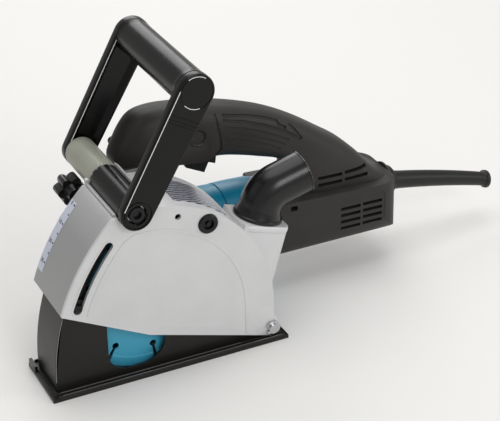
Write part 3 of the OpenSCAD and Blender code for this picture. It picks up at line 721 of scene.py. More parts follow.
def merged_copy(node: str, pierced_z: float | None = None) -> BMesh:
    """A CAD node's mesh in millimetres, with its loose triangles welded and its flat faces made whole.

    Args:
        node: The CAD node.
        pierced_z: The height of a level face with a slot through it, whose triangles are kept.

    Returns:
        The welded mesh.
    """
    made = bmesh.new()
    made.from_mesh(bpy.data.objects[node].data)
    bmesh.ops.scale(made, vec=(1 / METRE,) * 3, verts=made.verts)
    bmesh.ops.remove_doubles(made, verts=made.verts, dist=0.004)
    verts, edges = list(made.verts), list(made.edges)
    if pierced_z is not None:
        verts, edges = [], [e for e in edges if any(abs(v.co.z - pierced_z) > 0.01 for v in e.verts)]
    bmesh.ops.dissolve_limit(made, angle_limit=math.radians(0.6), verts=verts, edges=edges)
    return made


@dataclass
class Workshop:
    """Publishes finished meshes as pieces that ride on the frame."""

    finishes: Finishes
    layout: Layout

    def publish(self, made: BMesh, name: str, body: str, finish: str, replaces: Iterable[str] = (),
                smooth: float = 38.0, slot: str | None = None) -> bpy.types.Object:
        """Turns a mesh in millimetres into a piece of the object.

        Args:
            made: The mesh, which is freed.
            name: The piece's name.
            body: The CAD body it rides on.
            finish: Its finish.
            replaces: CAD nodes that it stands for.
            smooth: Edges that turn less than this are shaded smooth, in degrees.
            slot: The record's material slot, where it isn't the finish's own name.

        Returns:
            The new object.
        """
        bmesh.ops.scale(made, vec=(METRE,) * 3, verts=made.verts)
        mesh = bpy.data.meshes.new(name)
        made.to_mesh(mesh)
        made.free()
        mesh.shade_smooth()
        mesh.set_sharp_from_angle(angle=math.radians(smooth))
        mesh.materials.append(self.finishes[finish])
        piece = bpy.data.objects.new(name, mesh)
        bpy.context.scene.collection.objects.link(piece)
        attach(piece, body)
        if replaces:
            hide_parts(*replaces)
        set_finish(piece, slot or finish)
        LOG.info("%s on %s: %d faces", name, body, len(mesh.polygons))
        return piece

    def round_node(self, node: str, body: str, finish: str, width: float, segments: int = 2,
                   slot: str | None = None, prepare: Callable[[BMesh], None] | None = None,
                   pierced_z: float | None = None) -> bpy.types.Object:
        """Stands in for a CAD node with the same shape and rounded edges.

        Args:
            node: The CAD node.
            body: The body it rides on.
            finish: Its finish.
            width: How far each round reaches, in millimetres.
            segments: Facets across the round.
            slot: The record's material slot, where it isn't the finish's own name.
            prepare: Changes the welded copy before it is published.
            pierced_z: The height of a level face with a slot through it.

        Returns:
            The new object.
        """
        made = merged_copy(node, pierced_z)
        if prepare is not None:
            prepare(made)
        piece = self.publish(made, f"{node}_finished", body, finish, [node], smooth=30, slot=slot)
        edge = piece.modifiers.new("edges", "BEVEL")
        edge.width, edge.segments, edge.limit_method = width * METRE, segments, "ANGLE"
        edge.angle_limit = math.radians(35)
        edge.use_clamp_overlap = True
        edge.harden_normals = True
        edge.miter_outer = "MITER_ARC"
        return piece

    def dress(self, node: str, finish: str) -> None:
        """Gives a CAD node its finish."""
        target = bpy.data.objects[node]
        target.data.materials.clear()
        target.data.materials.append(self.finishes[finish])
        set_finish(target, finish)


# ---------------------------------------------------------------- front handle


@dataclass
class FrontHandle:
    """The bail handle: two arms, a round grip, a serrated boss and the bolts."""

    shop: Workshop
    foot_r: float = 13.0
    head_r: float = 14.8
    grip_r: float = 14.2
    boss_r: float = 12.5
    teeth: int = 14

    def build(self) -> None:
        """Makes every piece of the handle."""
        self.arm(Side.NEAR)
        self.arm(Side.FAR)
        self.grip()
        self.boss()
        self.bolt(Side.NEAR)
        self.bolt(Side.FAR)

    def faces_of(self, side: Side) -> tuple[float, float]:
        """The arm's inner and outer face, along Y."""
        low, high = Layout.corners("handle_arm_near" if side is Side.NEAR else "handle_arm_far")
        return (low.y, high.y) if side is Side.NEAR else (high.y, low.y)

    def arm(self, side: Side) -> None:
        """One arm, with a raised border, a capped head and a bolt recess at the foot.

        Args:
            side: Which arm.
        """
        foot, head = self.shop.layout.axle, self.shop.layout.rod
        inner, outer = self.faces_of(side)
        way = side.value
        made = plate(capsule(foot, self.foot_r, head, self.head_r, 28), inner, outer)
        face_y = inner if side is Side.FAR else outer
        if side is Side.FAR:
            inset_face(made, lambda f: abs(f.calc_center_median().y - face_y) < 0.01, 3.0, -3.6)
            soften(made, 1.1, 3, 50)
        else:
            soften(made, 1.5, 4, 50)
            run = (foot - head).normalized()
            across = Vector((-run.z, 0, run.x))
            cuts = []
            for reach, width in ((21.0, 0.9), (24.5, 0.5), (27.0, 0.5)):
                spot = head + run * reach
                ends = [spot + across * s * (self.head_r - 2.2) for s in (-1, 1)]
                corners = [ends[0] - run * width / 2, ends[1] - run * width / 2,
                           ends[1] + run * width / 2, ends[0] + run * width / 2]
                cuts.append(plate([(c.x, c.z) for c in corners], outer - 0.5, outer + 1))
            ring = turned([(12.4, 1.0), (12.4, -0.5), (13.1, -0.5), (13.1, 1.0), (12.4, 1.0)],
                          along_y(head.x, outer, head.z))
            made = combined(made, joined([*cuts, ring]), "DIFFERENCE")
        socket = rod(foot.x, foot.z, 8.0, outer + way, outer - 5.2 * way)
        made = combined(made, socket, "DIFFERENCE")
        groove = turned([(10.2, 1.0), (10.2, -0.8), (11.3, -0.8), (11.3, 1.0), (10.2, 1.0)],
                        along_y(foot.x, outer, foot.z, way))
        made = combined(made, groove, "DIFFERENCE")
        node = "handle_arm_near" if side is Side.NEAR else "handle_arm_far"
        self.shop.publish(made, f"bail_arm_{side.name.lower()}", "front_handle", "handle_black", [node])
        # Painted highlights along the arm's front edge.
        self.edge_highlight_strips(side, foot, head, inner, outer)

    def edge_highlight_strips(self, side: Side, foot: Vector, head: Vector, inner: float, outer: float) -> None:
        """Painted highlights along an arm's front edge: bright strips that stand for the edge's reflections,
        and on the near arm two arcs round its head.

        Args:
            side: Which arm.
            foot: The middle of its foot.
            head: The middle of its head.
            inner: Its inner face along Y.
            outer: Its outer face along Y.
        """
        run = (head - foot).normalized()
        front = Vector((run.z, 0, -run.x))
        face = outer if side is Side.NEAR else inner
        lines = [(self.foot_r - 1.9, self.head_r - 1.9, 0.62)]
        if side is Side.NEAR:
            lines.append((self.foot_r - 0.5, self.head_r - 0.5, 0.3))
        bars = []
        for low_r, high_r, width in lines:
            start = foot + front * low_r - run * 1
            end = head + front * high_r - run * 3
            drop = 0.75 if width < 0.5 else 0.02
            route = strip([(start.x, start.z), (end.x, end.z)], width)
            bars.append(plate(route, face - (drop + 0.4), face + (0.06 - drop)))
        if side is Side.NEAR:
            # Two bright arcs round the near head: painted highlights.
            for start_at, end_at in ((62, 126), (262, 322)):
                bow = arc((head.x, head.z), 12.7, start_at, end_at, 16)
                bars.append(plate(strip(bow, 0.5), face - 0.3, face + 0.05))
        self.shop.publish(joined(bars), f"bail_seam_{side.name.lower()}", "front_handle", "seam_line",
                          slot="handle_black")

    def grip(self) -> None:
        """The round grip, which swells a little into each arm."""
        near, far = self.faces_of(Side.NEAR)[0], self.faces_of(Side.FAR)[0]
        length = near - far
        lift, run = 0.5, 6.0
        swell = self.grip_r + lift
        profile = [(0, 0), (swell, 0)]
        profile += [(self.grip_r + lift * (1 - t / 8) ** 2, run * t / 8) for t in range(1, 9)]
        profile += [(self.grip_r, length * k / 6) for k in range(1, 6)]
        profile += [(self.grip_r + lift * (t / 8) ** 2, length - run + run * t / 8) for t in range(0, 8)]
        profile += [(swell, length), (0, length)]
        spot = self.shop.layout.rod
        made = turned(profile, along_y(spot.x, far, spot.z), 96)
        self.shop.publish(made, "bail_grip", "front_handle", "handle_black", ["handle_grip", "handle_rod"])

    def boss(self) -> None:
        """The black pivot boss, whose far end is toothed."""
        low, high = Layout.corners("handle_boss")
        spot = self.shop.layout.axle
        profile = [(5.1, 0), (self.boss_r - 0.5, 0), (self.boss_r, 0.5)]
        profile += [(self.boss_r, 0.5 + (high.y - low.y - 1) * k / 6) for k in range(1, 7)]
        profile += [(5.1, high.y - low.y), (5.1, 0)]
        made = turned(profile, along_y(spot.x, low.y, spot.z), 112)
        for vert in made.verts:
            if vert.co.y < low.y + 1.0:
                angle = math.atan2(vert.co.z - spot.z, vert.co.x - spot.x)
                vert.co.y += 0.9 + 0.9 * math.sin(self.teeth * angle)
        self.shop.publish(made, "bail_boss", "front_handle", "handle_black", ["handle_boss"])

    def bolt(self, side: Side) -> None:
        """A socket-head bolt with a washer, at the bottom of the arm's recess.

        Args:
            side: Which arm's bolt.
        """
        spot = self.shop.layout.axle
        outer = self.faces_of(side)[1]
        way = side.value
        seat = outer - 5.1 * way
        profile = [(0, 0), (6.4, 0), (6.4, 1.2), (6.4, 4.0), (5.9, 4.5), (3.4, 4.5), (3.2, 4.2),
                   (3.2, 1.9), (0, 1.9)]
        made = turned(profile, along_y(spot.x, seat, spot.z, way))
        name = f"bail_bolt_{side.name.lower()}"
        replaced = ["handle_bolts"] if side is Side.NEAR else []
        self.shop.publish(made, name, "front_handle", "black_bolt", replaced)
        ring = turned([(6.6, 0.0), (7.9, 0.0), (7.9, 0.7), (7.4, 1.0), (6.6, 1.0), (6.6, 0.0)],
                      along_y(spot.x, seat, spot.z, way), 72)
        self.shop.publish(ring, f"bail_washer_{side.name.lower()}", "front_handle", "bright_steel")


# ---------------------------------------------------------------- wheel cover


@dataclass
class WheelCover:
    """The silver cover: its plate with raised lines, its body, its labels and screws."""

    shop: Workshop
    slot_r: float = 173.8
    slot_w: float = 7.0
    slot_ends: tuple[float, float] = (21.0, 39.5)
    shade_y: tuple[float, float] = (19.6, 20.6)
    duct_tilt: float = 17.0
    duct_round: float = 6.0
    scale_r: float = 185.65
    scale_ends: tuple[float, float] = (25.0, 40.8)
    scale_ticks: int = 7
    figure_h: float = 4.6
    tube_r: float = 12.7
    tube_teeth: int = 14
    band_centre: tuple[float, float] = (106.9, 41.2)
    band_r: float = 84.2
    band_w: float = 2.2
    line_r: float = 164.0
    foot_z: float = 12.0
    proud: float = 0.35

    def build(self) -> None:
        """Makes every piece of the cover."""
        # The cover takes the silver casting with painted shade towards its front face.
        self.shop.round_node("wheel_cover", "machine", "cover_casting", 0.9, slot="silver_casting",
                             prepare=self.round_duct)
        self.shop.round_node("side_cover", "machine", "silver_casting", 0.9, 3)
        self.raised_lines()
        self.ear()
        self.slot_rim()
        self.cover_screw()
        self.name_plate()
        self.slot_shade()
        self.scale()
        self.tube()

    def round_duct(self, made: BMesh) -> None:
        """Rounds the duct's outer corners, which run along the collar's axis.

        Args:
            made: The cover's mesh.
        """
        tilt = math.radians(self.duct_tilt)
        axis = Vector((-math.sin(tilt), 0, math.cos(tilt)))
        edges = []
        for edge in made.edges:
            run = edge.verts[1].co - edge.verts[0].co
            level = (edge.verts[0].co.y + edge.verts[1].co.y) / 2
            outside = level > 16.2 or level < -23.2
            if run.length > 8 and abs(run.normalized().dot(axis)) > 0.9995 and outside:
                edges.append(edge)
        bmesh.ops.bevel(
            made, geom=edges, offset=self.duct_round, offset_type="OFFSET", segments=6, profile=0.5,
            affect="EDGES", clamp_overlap=True, material=-1,
        )

    def pivot(self) -> tuple[float, float]:
        """The pivot, across and up."""
        spot = self.shop.layout.pivot
        return (spot.x, spot.z)

    def raised_lines(self) -> None:
        """The raised band round the plate's middle and the line beside the slot."""
        face = self.shop.layout.cover_near
        pivot_x, pivot_z = self.pivot()
        gap = Vector((self.band_centre[0] - pivot_x, self.band_centre[1] - pivot_z))
        along = (self.line_r**2 - self.band_r**2 + gap.length_squared) / (2 * gap.length)
        away = math.sqrt(self.line_r**2 - along**2)
        way = gap.normalized()
        meet = way * along + Vector((-way.y, way.x)) * away
        turn_line = math.degrees(math.atan2(meet.y, meet.x))
        crown = Vector((pivot_x, pivot_z)) + meet - Vector(self.band_centre)
        turn_band = math.degrees(math.atan2(crown.y, crown.x))
        route = arc(self.pivot(), self.line_r, 19.6, turn_line - 1.5, 28)
        route += arc(self.band_centre, self.band_r, turn_band + 3.0, 180, 48)
        route.append((self.band_centre[0] - self.band_r, self.foot_z))
        band = plate(strip(route, self.band_w), face - 0.3, face + self.proud)
        soften(band, 0.16, 2, 50)
        low = [(34.0, 20.0), (98.0, 39.2)]
        line = plate(strip(low, 0.5), face - 0.3, face + 0.15)
        self.shop.publish(joined([band, line]), "cover_raised_lines", "machine", "silver_casting")

    def ear(self) -> None:
        """The plate's rounded ear about the pivot, with a hollow run up to the plate's back edge."""
        x, z = self.pivot()
        face = self.shop.layout.cover_near
        outline = [(x + 16, z - 1.0)] + arc((x, z), 7.4, 300, 130, 28)
        outline += [(x - 3.0, z + 10.0), (x - 1.2, z + 14.0), (x + 0.2, z + 20.0), (x + 8, z + 22.0),
                    (x + 16, z + 8)]
        made = plate(outline, face - 2.7, face + 0.02)
        made = combined(made, rod(x, z, 4.5, face - 6, face + 4), "DIFFERENCE")
        soften(made, 0.7, 3, 60)
        self.shop.publish(made, "cover_ear", "machine", "silver_casting")

    def slot_rim(self) -> None:
        """The pressed border round the arc slot."""
        face = self.shop.layout.cover_near
        around = slot_outline(self.pivot(), self.slot_r, self.slot_w + 3.0, *self.slot_ends)
        within = slot_outline(self.pivot(), self.slot_r, self.slot_w - 0.2, *self.slot_ends)
        rim, hole = plate(around, face - 0.3, face + 0.3), plate(within, face - 2, face + 2)
        made = combined(rim, hole, "DIFFERENCE")
        soften(made, 0.25, 2, 50)
        self.shop.publish(made, "cover_slot_rim", "machine", "silver_casting")

    def cover_screw(self) -> None:
        """The big socket screw of the plate, with its socket and knurled head."""
        low, high = Layout.corners("side_cover_screws")
        x, z, radius = (low.x + high.x) / 2, (low.z + high.z) / 2, (high.x - low.x) / 2
        profile = [(0, 0), (radius, 0), (radius, 2.2), (radius - 0.9, 3.0), (4.4, 3.0), (4.1, 2.6),
                   (4.1, 0.4), (0, 0.4)]
        head = turned(profile, along_y(x, high.y - 3.0, z), 72)
        rows = []
        for face in head.faces:
            middle = face.calc_center_median()
            far_out = (middle - Vector((x, middle.y, z))).length > 6
            if abs(face.normal.y) < 0.1 and middle.y < high.y - 0.8 and far_out:
                rows.append((math.atan2(middle.z - z, middle.x - x), face))
        rows.sort(key=lambda row: row[0])
        bmesh.ops.inset_individual(head, faces=[face for _, face in rows[::2]], thickness=0.1, depth=-0.35)
        star = rod(x, z, 2.0, high.y - 2.6, high.y - 0.6, 6)
        self.shop.publish(joined([head, star]), "plate_screw", "machine", "black_bolt", ["side_cover_screws"])

    def slot_shade(self) -> None:
        """A dark strip behind the arc slot, between the guard's wall and the wheels: painted shade standing
        for the dark seen through the slot.
        """
        low, high = self.slot_ends
        run = arc(self.pivot(), self.slot_r, low - 1.0, high + 1.1, 32)
        made = plate(strip(run, self.slot_w + 2.0), *self.shade_y)
        self.shop.publish(made, "slot_shade", "machine", "black_steel", slot="silver_casting")

    def name_plate(self) -> None:
        """The striped plate, bent over the cover's back."""
        self.shop.dress("name_plate", "plate_foil")

    def scale(self) -> None:
        """The depth scale's strip, its ticks and its figures."""
        self.shop.dress("depth_scale", "scale_foil")
        low, high = Layout.corners("depth_scale")
        centre, (first, last) = self.pivot(), self.scale_ends
        marks = []
        for i in range(self.scale_ticks):
            degrees = first + (last - first) * i / (self.scale_ticks - 1)
            angle = math.radians(degrees)
            across, up = on_circle(centre, self.scale_r, degrees)
            spot = Vector((across, 0, up))
            reach = 2.8 if i % 2 == 0 else 2.0
            mark = box((-0.05, high.y - reach, -0.55), (0.08, high.y - 0.3, 0.55))
            turn = Matrix.Translation(spot) @ Matrix.Rotation(-angle, 4, "Y")
            bmesh.ops.transform(mark, matrix=turn, verts=mark.verts)
            marks.append(mark)
            if i % 2 == 0:
                marks.append(self.figure(str(30 - 5 * i), turn, low.y + 3.6))
        self.shop.publish(joined(marks), "depth_scale_marks", "machine", "mark_ink", slot="scale_foil")

    def figure(self, text: str, turn: Matrix, y: float) -> BMesh:
        """A figure of the scale, drawn flat and laid on the strip.

        Args:
            text: The figure.
            turn: The place on the strip, its X axis outwards.
            y: The figure's middle across the strip.

        Returns:
            The figure's mesh.
        """
        curve = bpy.data.curves.new("figure", "FONT")
        curve.body, curve.size, curve.extrude = text, self.figure_h, 0.04
        curve.align_x, curve.align_y = "CENTER", "CENTER"
        holder = bpy.data.objects.new("figure", curve)
        bpy.context.scene.collection.objects.link(holder)
        bpy.context.view_layer.update()
        made = bmesh.new()
        made.from_mesh(holder.evaluated_get(bpy.context.evaluated_depsgraph_get()).to_mesh())
        bpy.data.objects.remove(holder)
        bpy.data.curves.remove(curve)
        lay = Matrix(((0, 0, 1, 0.05), (1, 0, 0, y), (0, 1, 0, 0), (0, 0, 0, 1)))
        bmesh.ops.transform(made, matrix=turn @ lay, verts=made.verts)
        return made

    def tube(self) -> None:
        """The painted tube that the bail handle turns on, toothed where it meets the boss."""
        spot = self.shop.layout.axle
        far = Layout.corners("handle_arm_far")[1].y + 0.3
        near = Layout.corners("handle_boss")[0].y - 0.35
        length = near - far
        wide = self.tube_r
        profile = [(wide - 1.5, 0), (wide, 0.3), (wide, length * 0.5), (wide, length - 0.4),
                   (wide - 0.6, length), (5.2, length), (5.2, 0), (wide - 1.5, 0)]
        made = turned(profile, along_y(spot.x, far, spot.z), 112)
        for vert in made.verts:
            if vert.co.y > near - 1.0:
                angle = math.atan2(vert.co.z - spot.z, vert.co.x - spot.x)
                vert.co.y += 0.6 + 0.9 * math.sin(self.tube_teeth * angle)
        self.shop.publish(made, "handle_tube", "machine", "tube_paint", slot="silver_casting")


# ---------------------------------------------------------------- motor shells


@dataclass
class MotorShells:
    """The rear handle and motor body, parted down the middle into two hollow shells."""

    shop: Workshop
    grip_half: float = 19.5
    upper_half: float = 25.0
    motor_half: float = 34.0
    block_x: tuple[float, float] = (-38.0, -157.0)
    ring_sides: int = 40
    squareness: float = 3.0
    stations: tuple[tuple[float, float, float, float, float], ...] = (
        (93.6, 142.0, 93.2, 137.6, 5.0),
        (92.4, 146.5, 91.4, 134.8, 11.0),
        (86.6, 157.0, 82.0, 133.6, 15.5),
        (79.6, 168.2, 71.0, 132.4, 17.8),
        (71.0, 175.8, 62.0, 130.0, 19.2),
        (57.5, 178.4, 52.0, 127.6, 19.5),
        (42.0, 177.8, 40.0, 126.6, 19.5),
        (22.0, 174.8, 22.0, 126.6, 19.5),
        (1.0, 170.6, 3.0, 126.2, 19.5),
        (-20.0, 164.6, -14.0, 122.6, 19.5),
        (-39.0, 157.7, -32.0, 117.2, 19.5),
        (-57.0, 149.1, -48.0, 112.0, 20.0),
        (-76.0, 137.8, -59.5, 104.5, 21.5),
        (-94.0, 125.6, -60.0, 92.0, 23.5),
        (-111.0, 113.6, -68.0, 66.0, 25.0),
        (-126.0, 99.6, -100.0, 56.0, 25.0),
        (-140.0, 84.6, -128.0, 56.0, 25.0),
        (-152.0, 76.4, -146.0, 56.0, 23.0),
    )

    def build(self) -> None:
        """Makes both shells with their grip grooves, the trigger panels and the controls."""
        for side in Side:
            self.shell(side)
            self.panel(side)
        self.button()
        self.shop.round_node("trigger", "trigger", "switch_black", 1.3, 3)

    def form(self) -> BMesh:
        """The whole outer form: the handle's sweep joined to the motor block."""
        return combined(self.sweep(), self.block(), "UNION")

    def sweep(self) -> BMesh:
        """The handle as a rounded section carried from its nose down into the motor block."""
        rows = self.eased(4)
        made = bmesh.new()
        rings = []
        for top_x, top_z, low_x, low_z, half in rows:
            middle = Vector(((top_x + low_x) / 2, self.shop.layout.motor_y, (top_z + low_z) / 2))
            up = Vector((top_x - low_x, 0, top_z - low_z)) / 2
            ring = bmesh.ops.create_circle(made, segments=self.ring_sides, radius=1.0)["verts"]
            for vert in ring:
                a = math.atan2(vert.co.y, vert.co.x)
                side = math.copysign(abs(math.cos(a)) ** (2 / self.squareness), math.cos(a))
                rise = math.copysign(abs(math.sin(a)) ** (2 / self.squareness), math.sin(a))
                vert.co = middle + Vector((0, half * side, 0)) + up * rise
            rings.append([e for e in made.edges if all(v in set(ring) for v in e.verts)])
        for first, second in zip(rings, rings[1:]):
            bmesh.ops.bridge_loops(made, edges=first + second)
        bmesh.ops.holes_fill(made, edges=rings[0] + rings[-1], sides=0)
        bmesh.ops.recalc_face_normals(made, faces=made.faces)
        return made

    def eased(self, steps: int) -> list[tuple[float, ...]]:
        """The stations with more between them, on a smooth curve through each.

        Args:
            steps: Rows from one station to the next.

        Returns:
            The rows.
        """
        rows = [self.stations[0], *self.stations, self.stations[-1]]
        made = []
        for a, b, c, d in zip(rows, rows[1:], rows[2:], rows[3:]):
            for k in range(steps):
                t = k / steps
                made.append(tuple(
                    0.5 * (2 * q + (r - p) * t + (2 * p - 5 * q + 4 * r - s) * t * t
                           + (3 * q - p - 3 * r + s) * t**3)
                    for p, q, r, s in zip(a, b, c, d)
                ))
        made.append(self.stations[-1])
        return made

    def block(self) -> BMesh:
        """The motor block: flat sides, a rounded belly and rounded rear corners."""
        y, half = self.shop.layout.motor_y, self.motor_half
        front, rear = self.block_x
        made = plate(
            rounded([(front, 21, 0), (front, 80.9, 2), (-148, 76.4, 4), (rear, 75.6, 4), (rear, 21, 27)], 8),
            y - half, y + half,
        )
        plan = bmesh.new()
        corners = rounded(
            [(front, y - half, 0), (front, y + half, 0), (rear, y + half, 24), (rear, y - half, 24)], 10
        )
        base = plan.faces.new([plan.verts.new((px, py, 10.0)) for px, py in corners])
        made = combined(made, drawn_out(plan, base, Vector((0, 0, 90))), "INTERSECT")
        section = bmesh.new()
        corners = rounded(
            [(y - half, 90, 0), (y - half, 23.5, 30), (y + half, 23.5, 30), (y + half, 90, 0)], 12
        )
        base = section.faces.new([section.verts.new((rear - 5, sy, sz)) for sy, sz in corners])
        made = combined(made, drawn_out(section, base, Vector((front - rear + 10, 0, 0))), "INTERSECT")
        return soften(made, 2.2, 4, 60, only=lambda e: min(v.co.z for v in e.verts) > 70)

    def openings(self, side: Side) -> list[BMesh]:
        """The vents and the square hole, as cutting blocks.

        Args:
            side: The shell they go through.

        Returns:
            The blocks.
        """
        y, way = self.shop.layout.motor_y, side.value
        deep, skin = y + way * (self.upper_half - 10), y + way * (self.motor_half + 4)
        low_y, high_y = min(deep, skin), max(deep, skin)
        cuts = []
        for row in range(4):
            for column in range(2):
                x, z = -137.2 + 21.0 * column, 42.4 + 6.1 * row
                cuts.append(box((x, low_y, z), (x + 18.8, high_y, z + 2.9)))
        for row in range(2):
            for column in range(2):
                x, z = -128.0 + 25.2 * column, 83.8 + 6.4 * row
                cuts.append(box((x, low_y - 2, z), (x + 22.8, high_y + 2, z + 2.9)))
        cuts.append(box((-56.0, min(skin, y + way * 26), 72.8), (-49.6, max(skin, y + way * 26), 77.2)))
        for cut in cuts:
            middle = sum((v.co for v in cut.verts), Vector()) / len(cut.verts)
            tilt = Matrix.Translation(middle) @ Matrix.Rotation(math.radians(-1.0), 4, "Y")
            bmesh.ops.transform(cut, matrix=tilt @ Matrix.Translation(-middle), verts=cut.verts)
            soften(cut, 0.7, 2, 60, only=lambda e: abs(e.verts[0].co.y - e.verts[1].co.y) > 1)
        return cuts

    def vent_field(self, side: Side) -> BMesh:
        """The shallow field round the lower vents, as a cutting block."""
        y, way = self.shop.layout.motor_y, side.value
        outline = rounded([(-94.8, 40.0, 3), (-94.8, 72.6, 5), (-139.6, 70.6, 3), (-139.6, 40.0, 3)], 5)
        skin = y + way * self.motor_half
        return plate(outline, min(skin - 0.9 * way, skin + 3 * way), max(skin - 0.9 * way, skin + 3 * way))

    def grooves(self, side: Side) -> list[BMesh]:
        """The lines pressed into the grip, as thin cutters that follow the skin.

        Args:
            side: The shell they are pressed into.

        Returns:
            The cutters.
        """
        form = self.form()
        skin = BVHTree.FromBMesh(form)
        form.free()
        routes = [
            [(2.3, 165.0), (-18, 160.5), (-33, 155.6), (-45.5, 150.4), (-47.5, 146.2), (-54.0, 142.6)],
            [(2.6, 161.6), (-16, 156.6), (-34, 149.4), (-52, 140.4), (-66.0, 130.8)],
            [(-57.0, 144.6), (-61, 139.6), (-67.0, 130.6)],
            [(1.8, 156.0), (-16, 151.0), (-34, 143.6), (-56, 131.8)],
            [(1.2, 150.6), (-16, 145.6), (-34, 138.2), (-52, 128.6)],
            [(0.6, 145.0), (-16, 140.2), (-34, 132.8), (-48, 125.4)],
            [(0.4, 139.4), (-16, 134.8), (-34, 127.4), (-44, 122.0)],
            [(8.5, 168.0), (7.5, 158.0), (5.6, 148.0), (4.6, 137.5), (9.5, 131.0)],
        ]
        widths = [1.5, 1.3, 1.4, 0.7, 0.7, 0.7, 0.7, 1.0]
        return [self.line_cut(self.on_skin(route, skin, side), width) for route, width in zip(routes, widths)]

    def on_skin(self, route: Outline, skin: BVHTree, side: Side) -> list[Vector]:
        """Lays a route of X and Z points on the skin, with more points between them.

        Args:
            route: The route's corners.
            skin: The outer form.
            side: The side that the route is seen from.

        Returns:
            Points on the skin.
        """
        spots = []
        start_y = self.shop.layout.motor_y + side.value * 60
        for a, b in zip(route, route[1:]):
            count = max(1, round(math.dist(a, b) / 3.5))
            for k in range(count + (b == route[-1])):
                x, z = a[0] + (b[0] - a[0]) * k / count, a[1] + (b[1] - a[1]) * k / count
                hit = skin.ray_cast(Vector((x, start_y, z)), Vector((0, -side.value, 0)))[0]
                if hit is not None:
                    spots.append(hit)
        return spots

    @staticmethod
    def line_cut(spots: list[Vector], radius: float) -> BMesh:
        """A thin round cutter that follows the spots.

        Args:
            spots: The cutter's middle line.
            radius: Its radius.

        Returns:
            The closed mesh.
        """
        made = bmesh.new()
        rings = []
        for i, spot in enumerate(spots):
            ahead = spots[min(i + 1, len(spots) - 1)] - spots[max(i - 1, 0)]
            place = Matrix.Translation(spot) @ ahead.to_track_quat("Z", "Y").to_matrix().to_4x4()
            ring = bmesh.ops.create_circle(made, segments=8, radius=radius, matrix=place)["verts"]
            rings.append([e for e in made.edges if all(v in set(ring) for v in e.verts)])
        for first, second in zip(rings, rings[1:]):
            bmesh.ops.bridge_loops(made, edges=first + second)
        bmesh.ops.holes_fill(made, edges=rings[0] + rings[-1], sides=0)
        bmesh.ops.recalc_face_normals(made, faces=made.faces)
        return made

    def shell(self, side: Side) -> None:
        """One half shell, hollow, with its openings and grooves.

        Args:
            side: Which half.
        """
        y, way = self.shop.layout.motor_y, side.value
        made = self.form()
        made = combined(made, self.vent_field(side), "DIFFERENCE")
        made = combined(made, joined(self.grooves(side)), "DIFFERENCE")
        inner = self.hollow()
        made = combined(made, inner, "DIFFERENCE")
        made = combined(made, joined(self.openings(side)), "DIFFERENCE")
        bmesh.ops.bisect_plane(
            made, geom=[*made.verts, *made.edges, *made.faces], plane_co=(0, y + 0.06 * way, 0),
            plane_no=(0, way, 0), clear_inner=True,
        )
        bmesh.ops.holes_fill(made, edges=[e for e in made.edges if e.is_boundary], sides=0)
        name = side.name.lower()
        self.shop.publish(made, f"motor_shell_{name}", "machine", "shell_grey", [f"handle_shell_{name}"],
                          smooth=32)

    def hollow(self) -> BMesh:
        """The room inside the shells: the motor's round bay and the trigger's slot."""
        y = self.shop.layout.motor_y
        bay = turned([(0, 60), (32.9, 60), (32.9, 158), (19, 159), (19, 254), (0, 254)],
                     self.shop.layout.motor_place())
        slot = box((1.5, y - 9, 116), (38, y + 9, 150))
        return joined([bay, slot])

    def panel(self, side: Side) -> None:
        """The raised panel above the trigger, with a hole for the lock button on the near side.

        Args:
            side: Which shell it is on.
        """
        skin = self.shop.layout.motor_y + side.value * (self.grip_half - 0.4)
        outline = rounded([(9.5, 164.0, 3), (6.6, 141.0, 4), (12.5, 131.4, 3), (22.0, 129.2, 3),
                           (58.0, 134.0, 5), (62.0, 152.0, 8), (50.0, 167.0, 6), (30.0, 169.0, 5)], 5)
        made = plate(outline, min(skin, skin + 1.1 * side.value), max(skin, skin + 1.1 * side.value))
        if side is Side.NEAR:
            low, high = Layout.corners("lock_off_button")
            x, z = (low.x + high.x) / 2, (low.z + high.z) / 2
            made = combined(made, rod(x, z, 6.6, skin - 4, skin + 4), "DIFFERENCE")
        soften(made, 0.5, 2, 50)
        self.shop.publish(made, f"switch_panel_{side.name.lower()}", "machine", "shell_grey")

    def button(self) -> None:
        """The lock button, in its raised collar."""
        low, high = Layout.corners("lock_off_button")
        x, z = (low.x + high.x) / 2, (low.z + high.z) / 2
        cap = turned([(0, 0), (4.7, 0), (4.7, 5.6), (4.1, 6.4), (2.4, 6.2), (0, 5.8)],
                     along_y(x, high.y - 6.4, z), 48)
        self.shop.publish(cap, "lock_button_cap", "lock_off", "switch_black", ["lock_off_button"])
        collar = turned([(5.4, 0), (8.8, 0), (8.6, 1.2), (7.9, 2.2), (6.9, 2.5), (6.0, 2.1), (5.4, 1.2),
                         (5.4, 0)], along_y(x, high.y - 1.2, z), 48)
        self.shop.publish(collar, "lock_button_collar", "machine", "switch_black")


# ---------------------------------------------------------------- motor front and gear case


@dataclass
class GearCase:
    """The gear housing, the teal field housing and the shaft lock."""

    shop: Workshop
    housing_r: float = 33.0

    def build(self) -> None:
        """Makes the visible front of the drive."""
        self.shop.round_node("gear_housing", "machine", "bare_casting", 1.0)
        self.shop.round_node("bearing_box", "machine", "bare_casting", 0.5)
        self.field_housing()
        self.shop.dress("shaft_lock_button", "switch_black")

    def field_housing(self) -> None:
        """The teal housing round the field, with a seam and a wider rear part."""
        radius = self.housing_r
        profile = [(30.6, 62.2), (radius - 0.8, 62.2), (radius, 63.0), (radius, 101.4), (radius - 0.7, 101.8),
                   (radius - 0.7, 102.6), (radius + 0.3, 103.0), (radius + 0.9, 112.0), (radius + 1.2, 134.0),
                   (radius - 0.4, 139.0), (radius - 0.4, 156.0), (30.6, 156.0), (30.6, 62.2)]
        made = turned(profile, self.shop.layout.motor_place(), 96)
        self.shop.publish(made, "field_housing_finished", "machine", "teal_plastic", ["field_housing"])


# ---------------------------------------------------------------- dust elbow


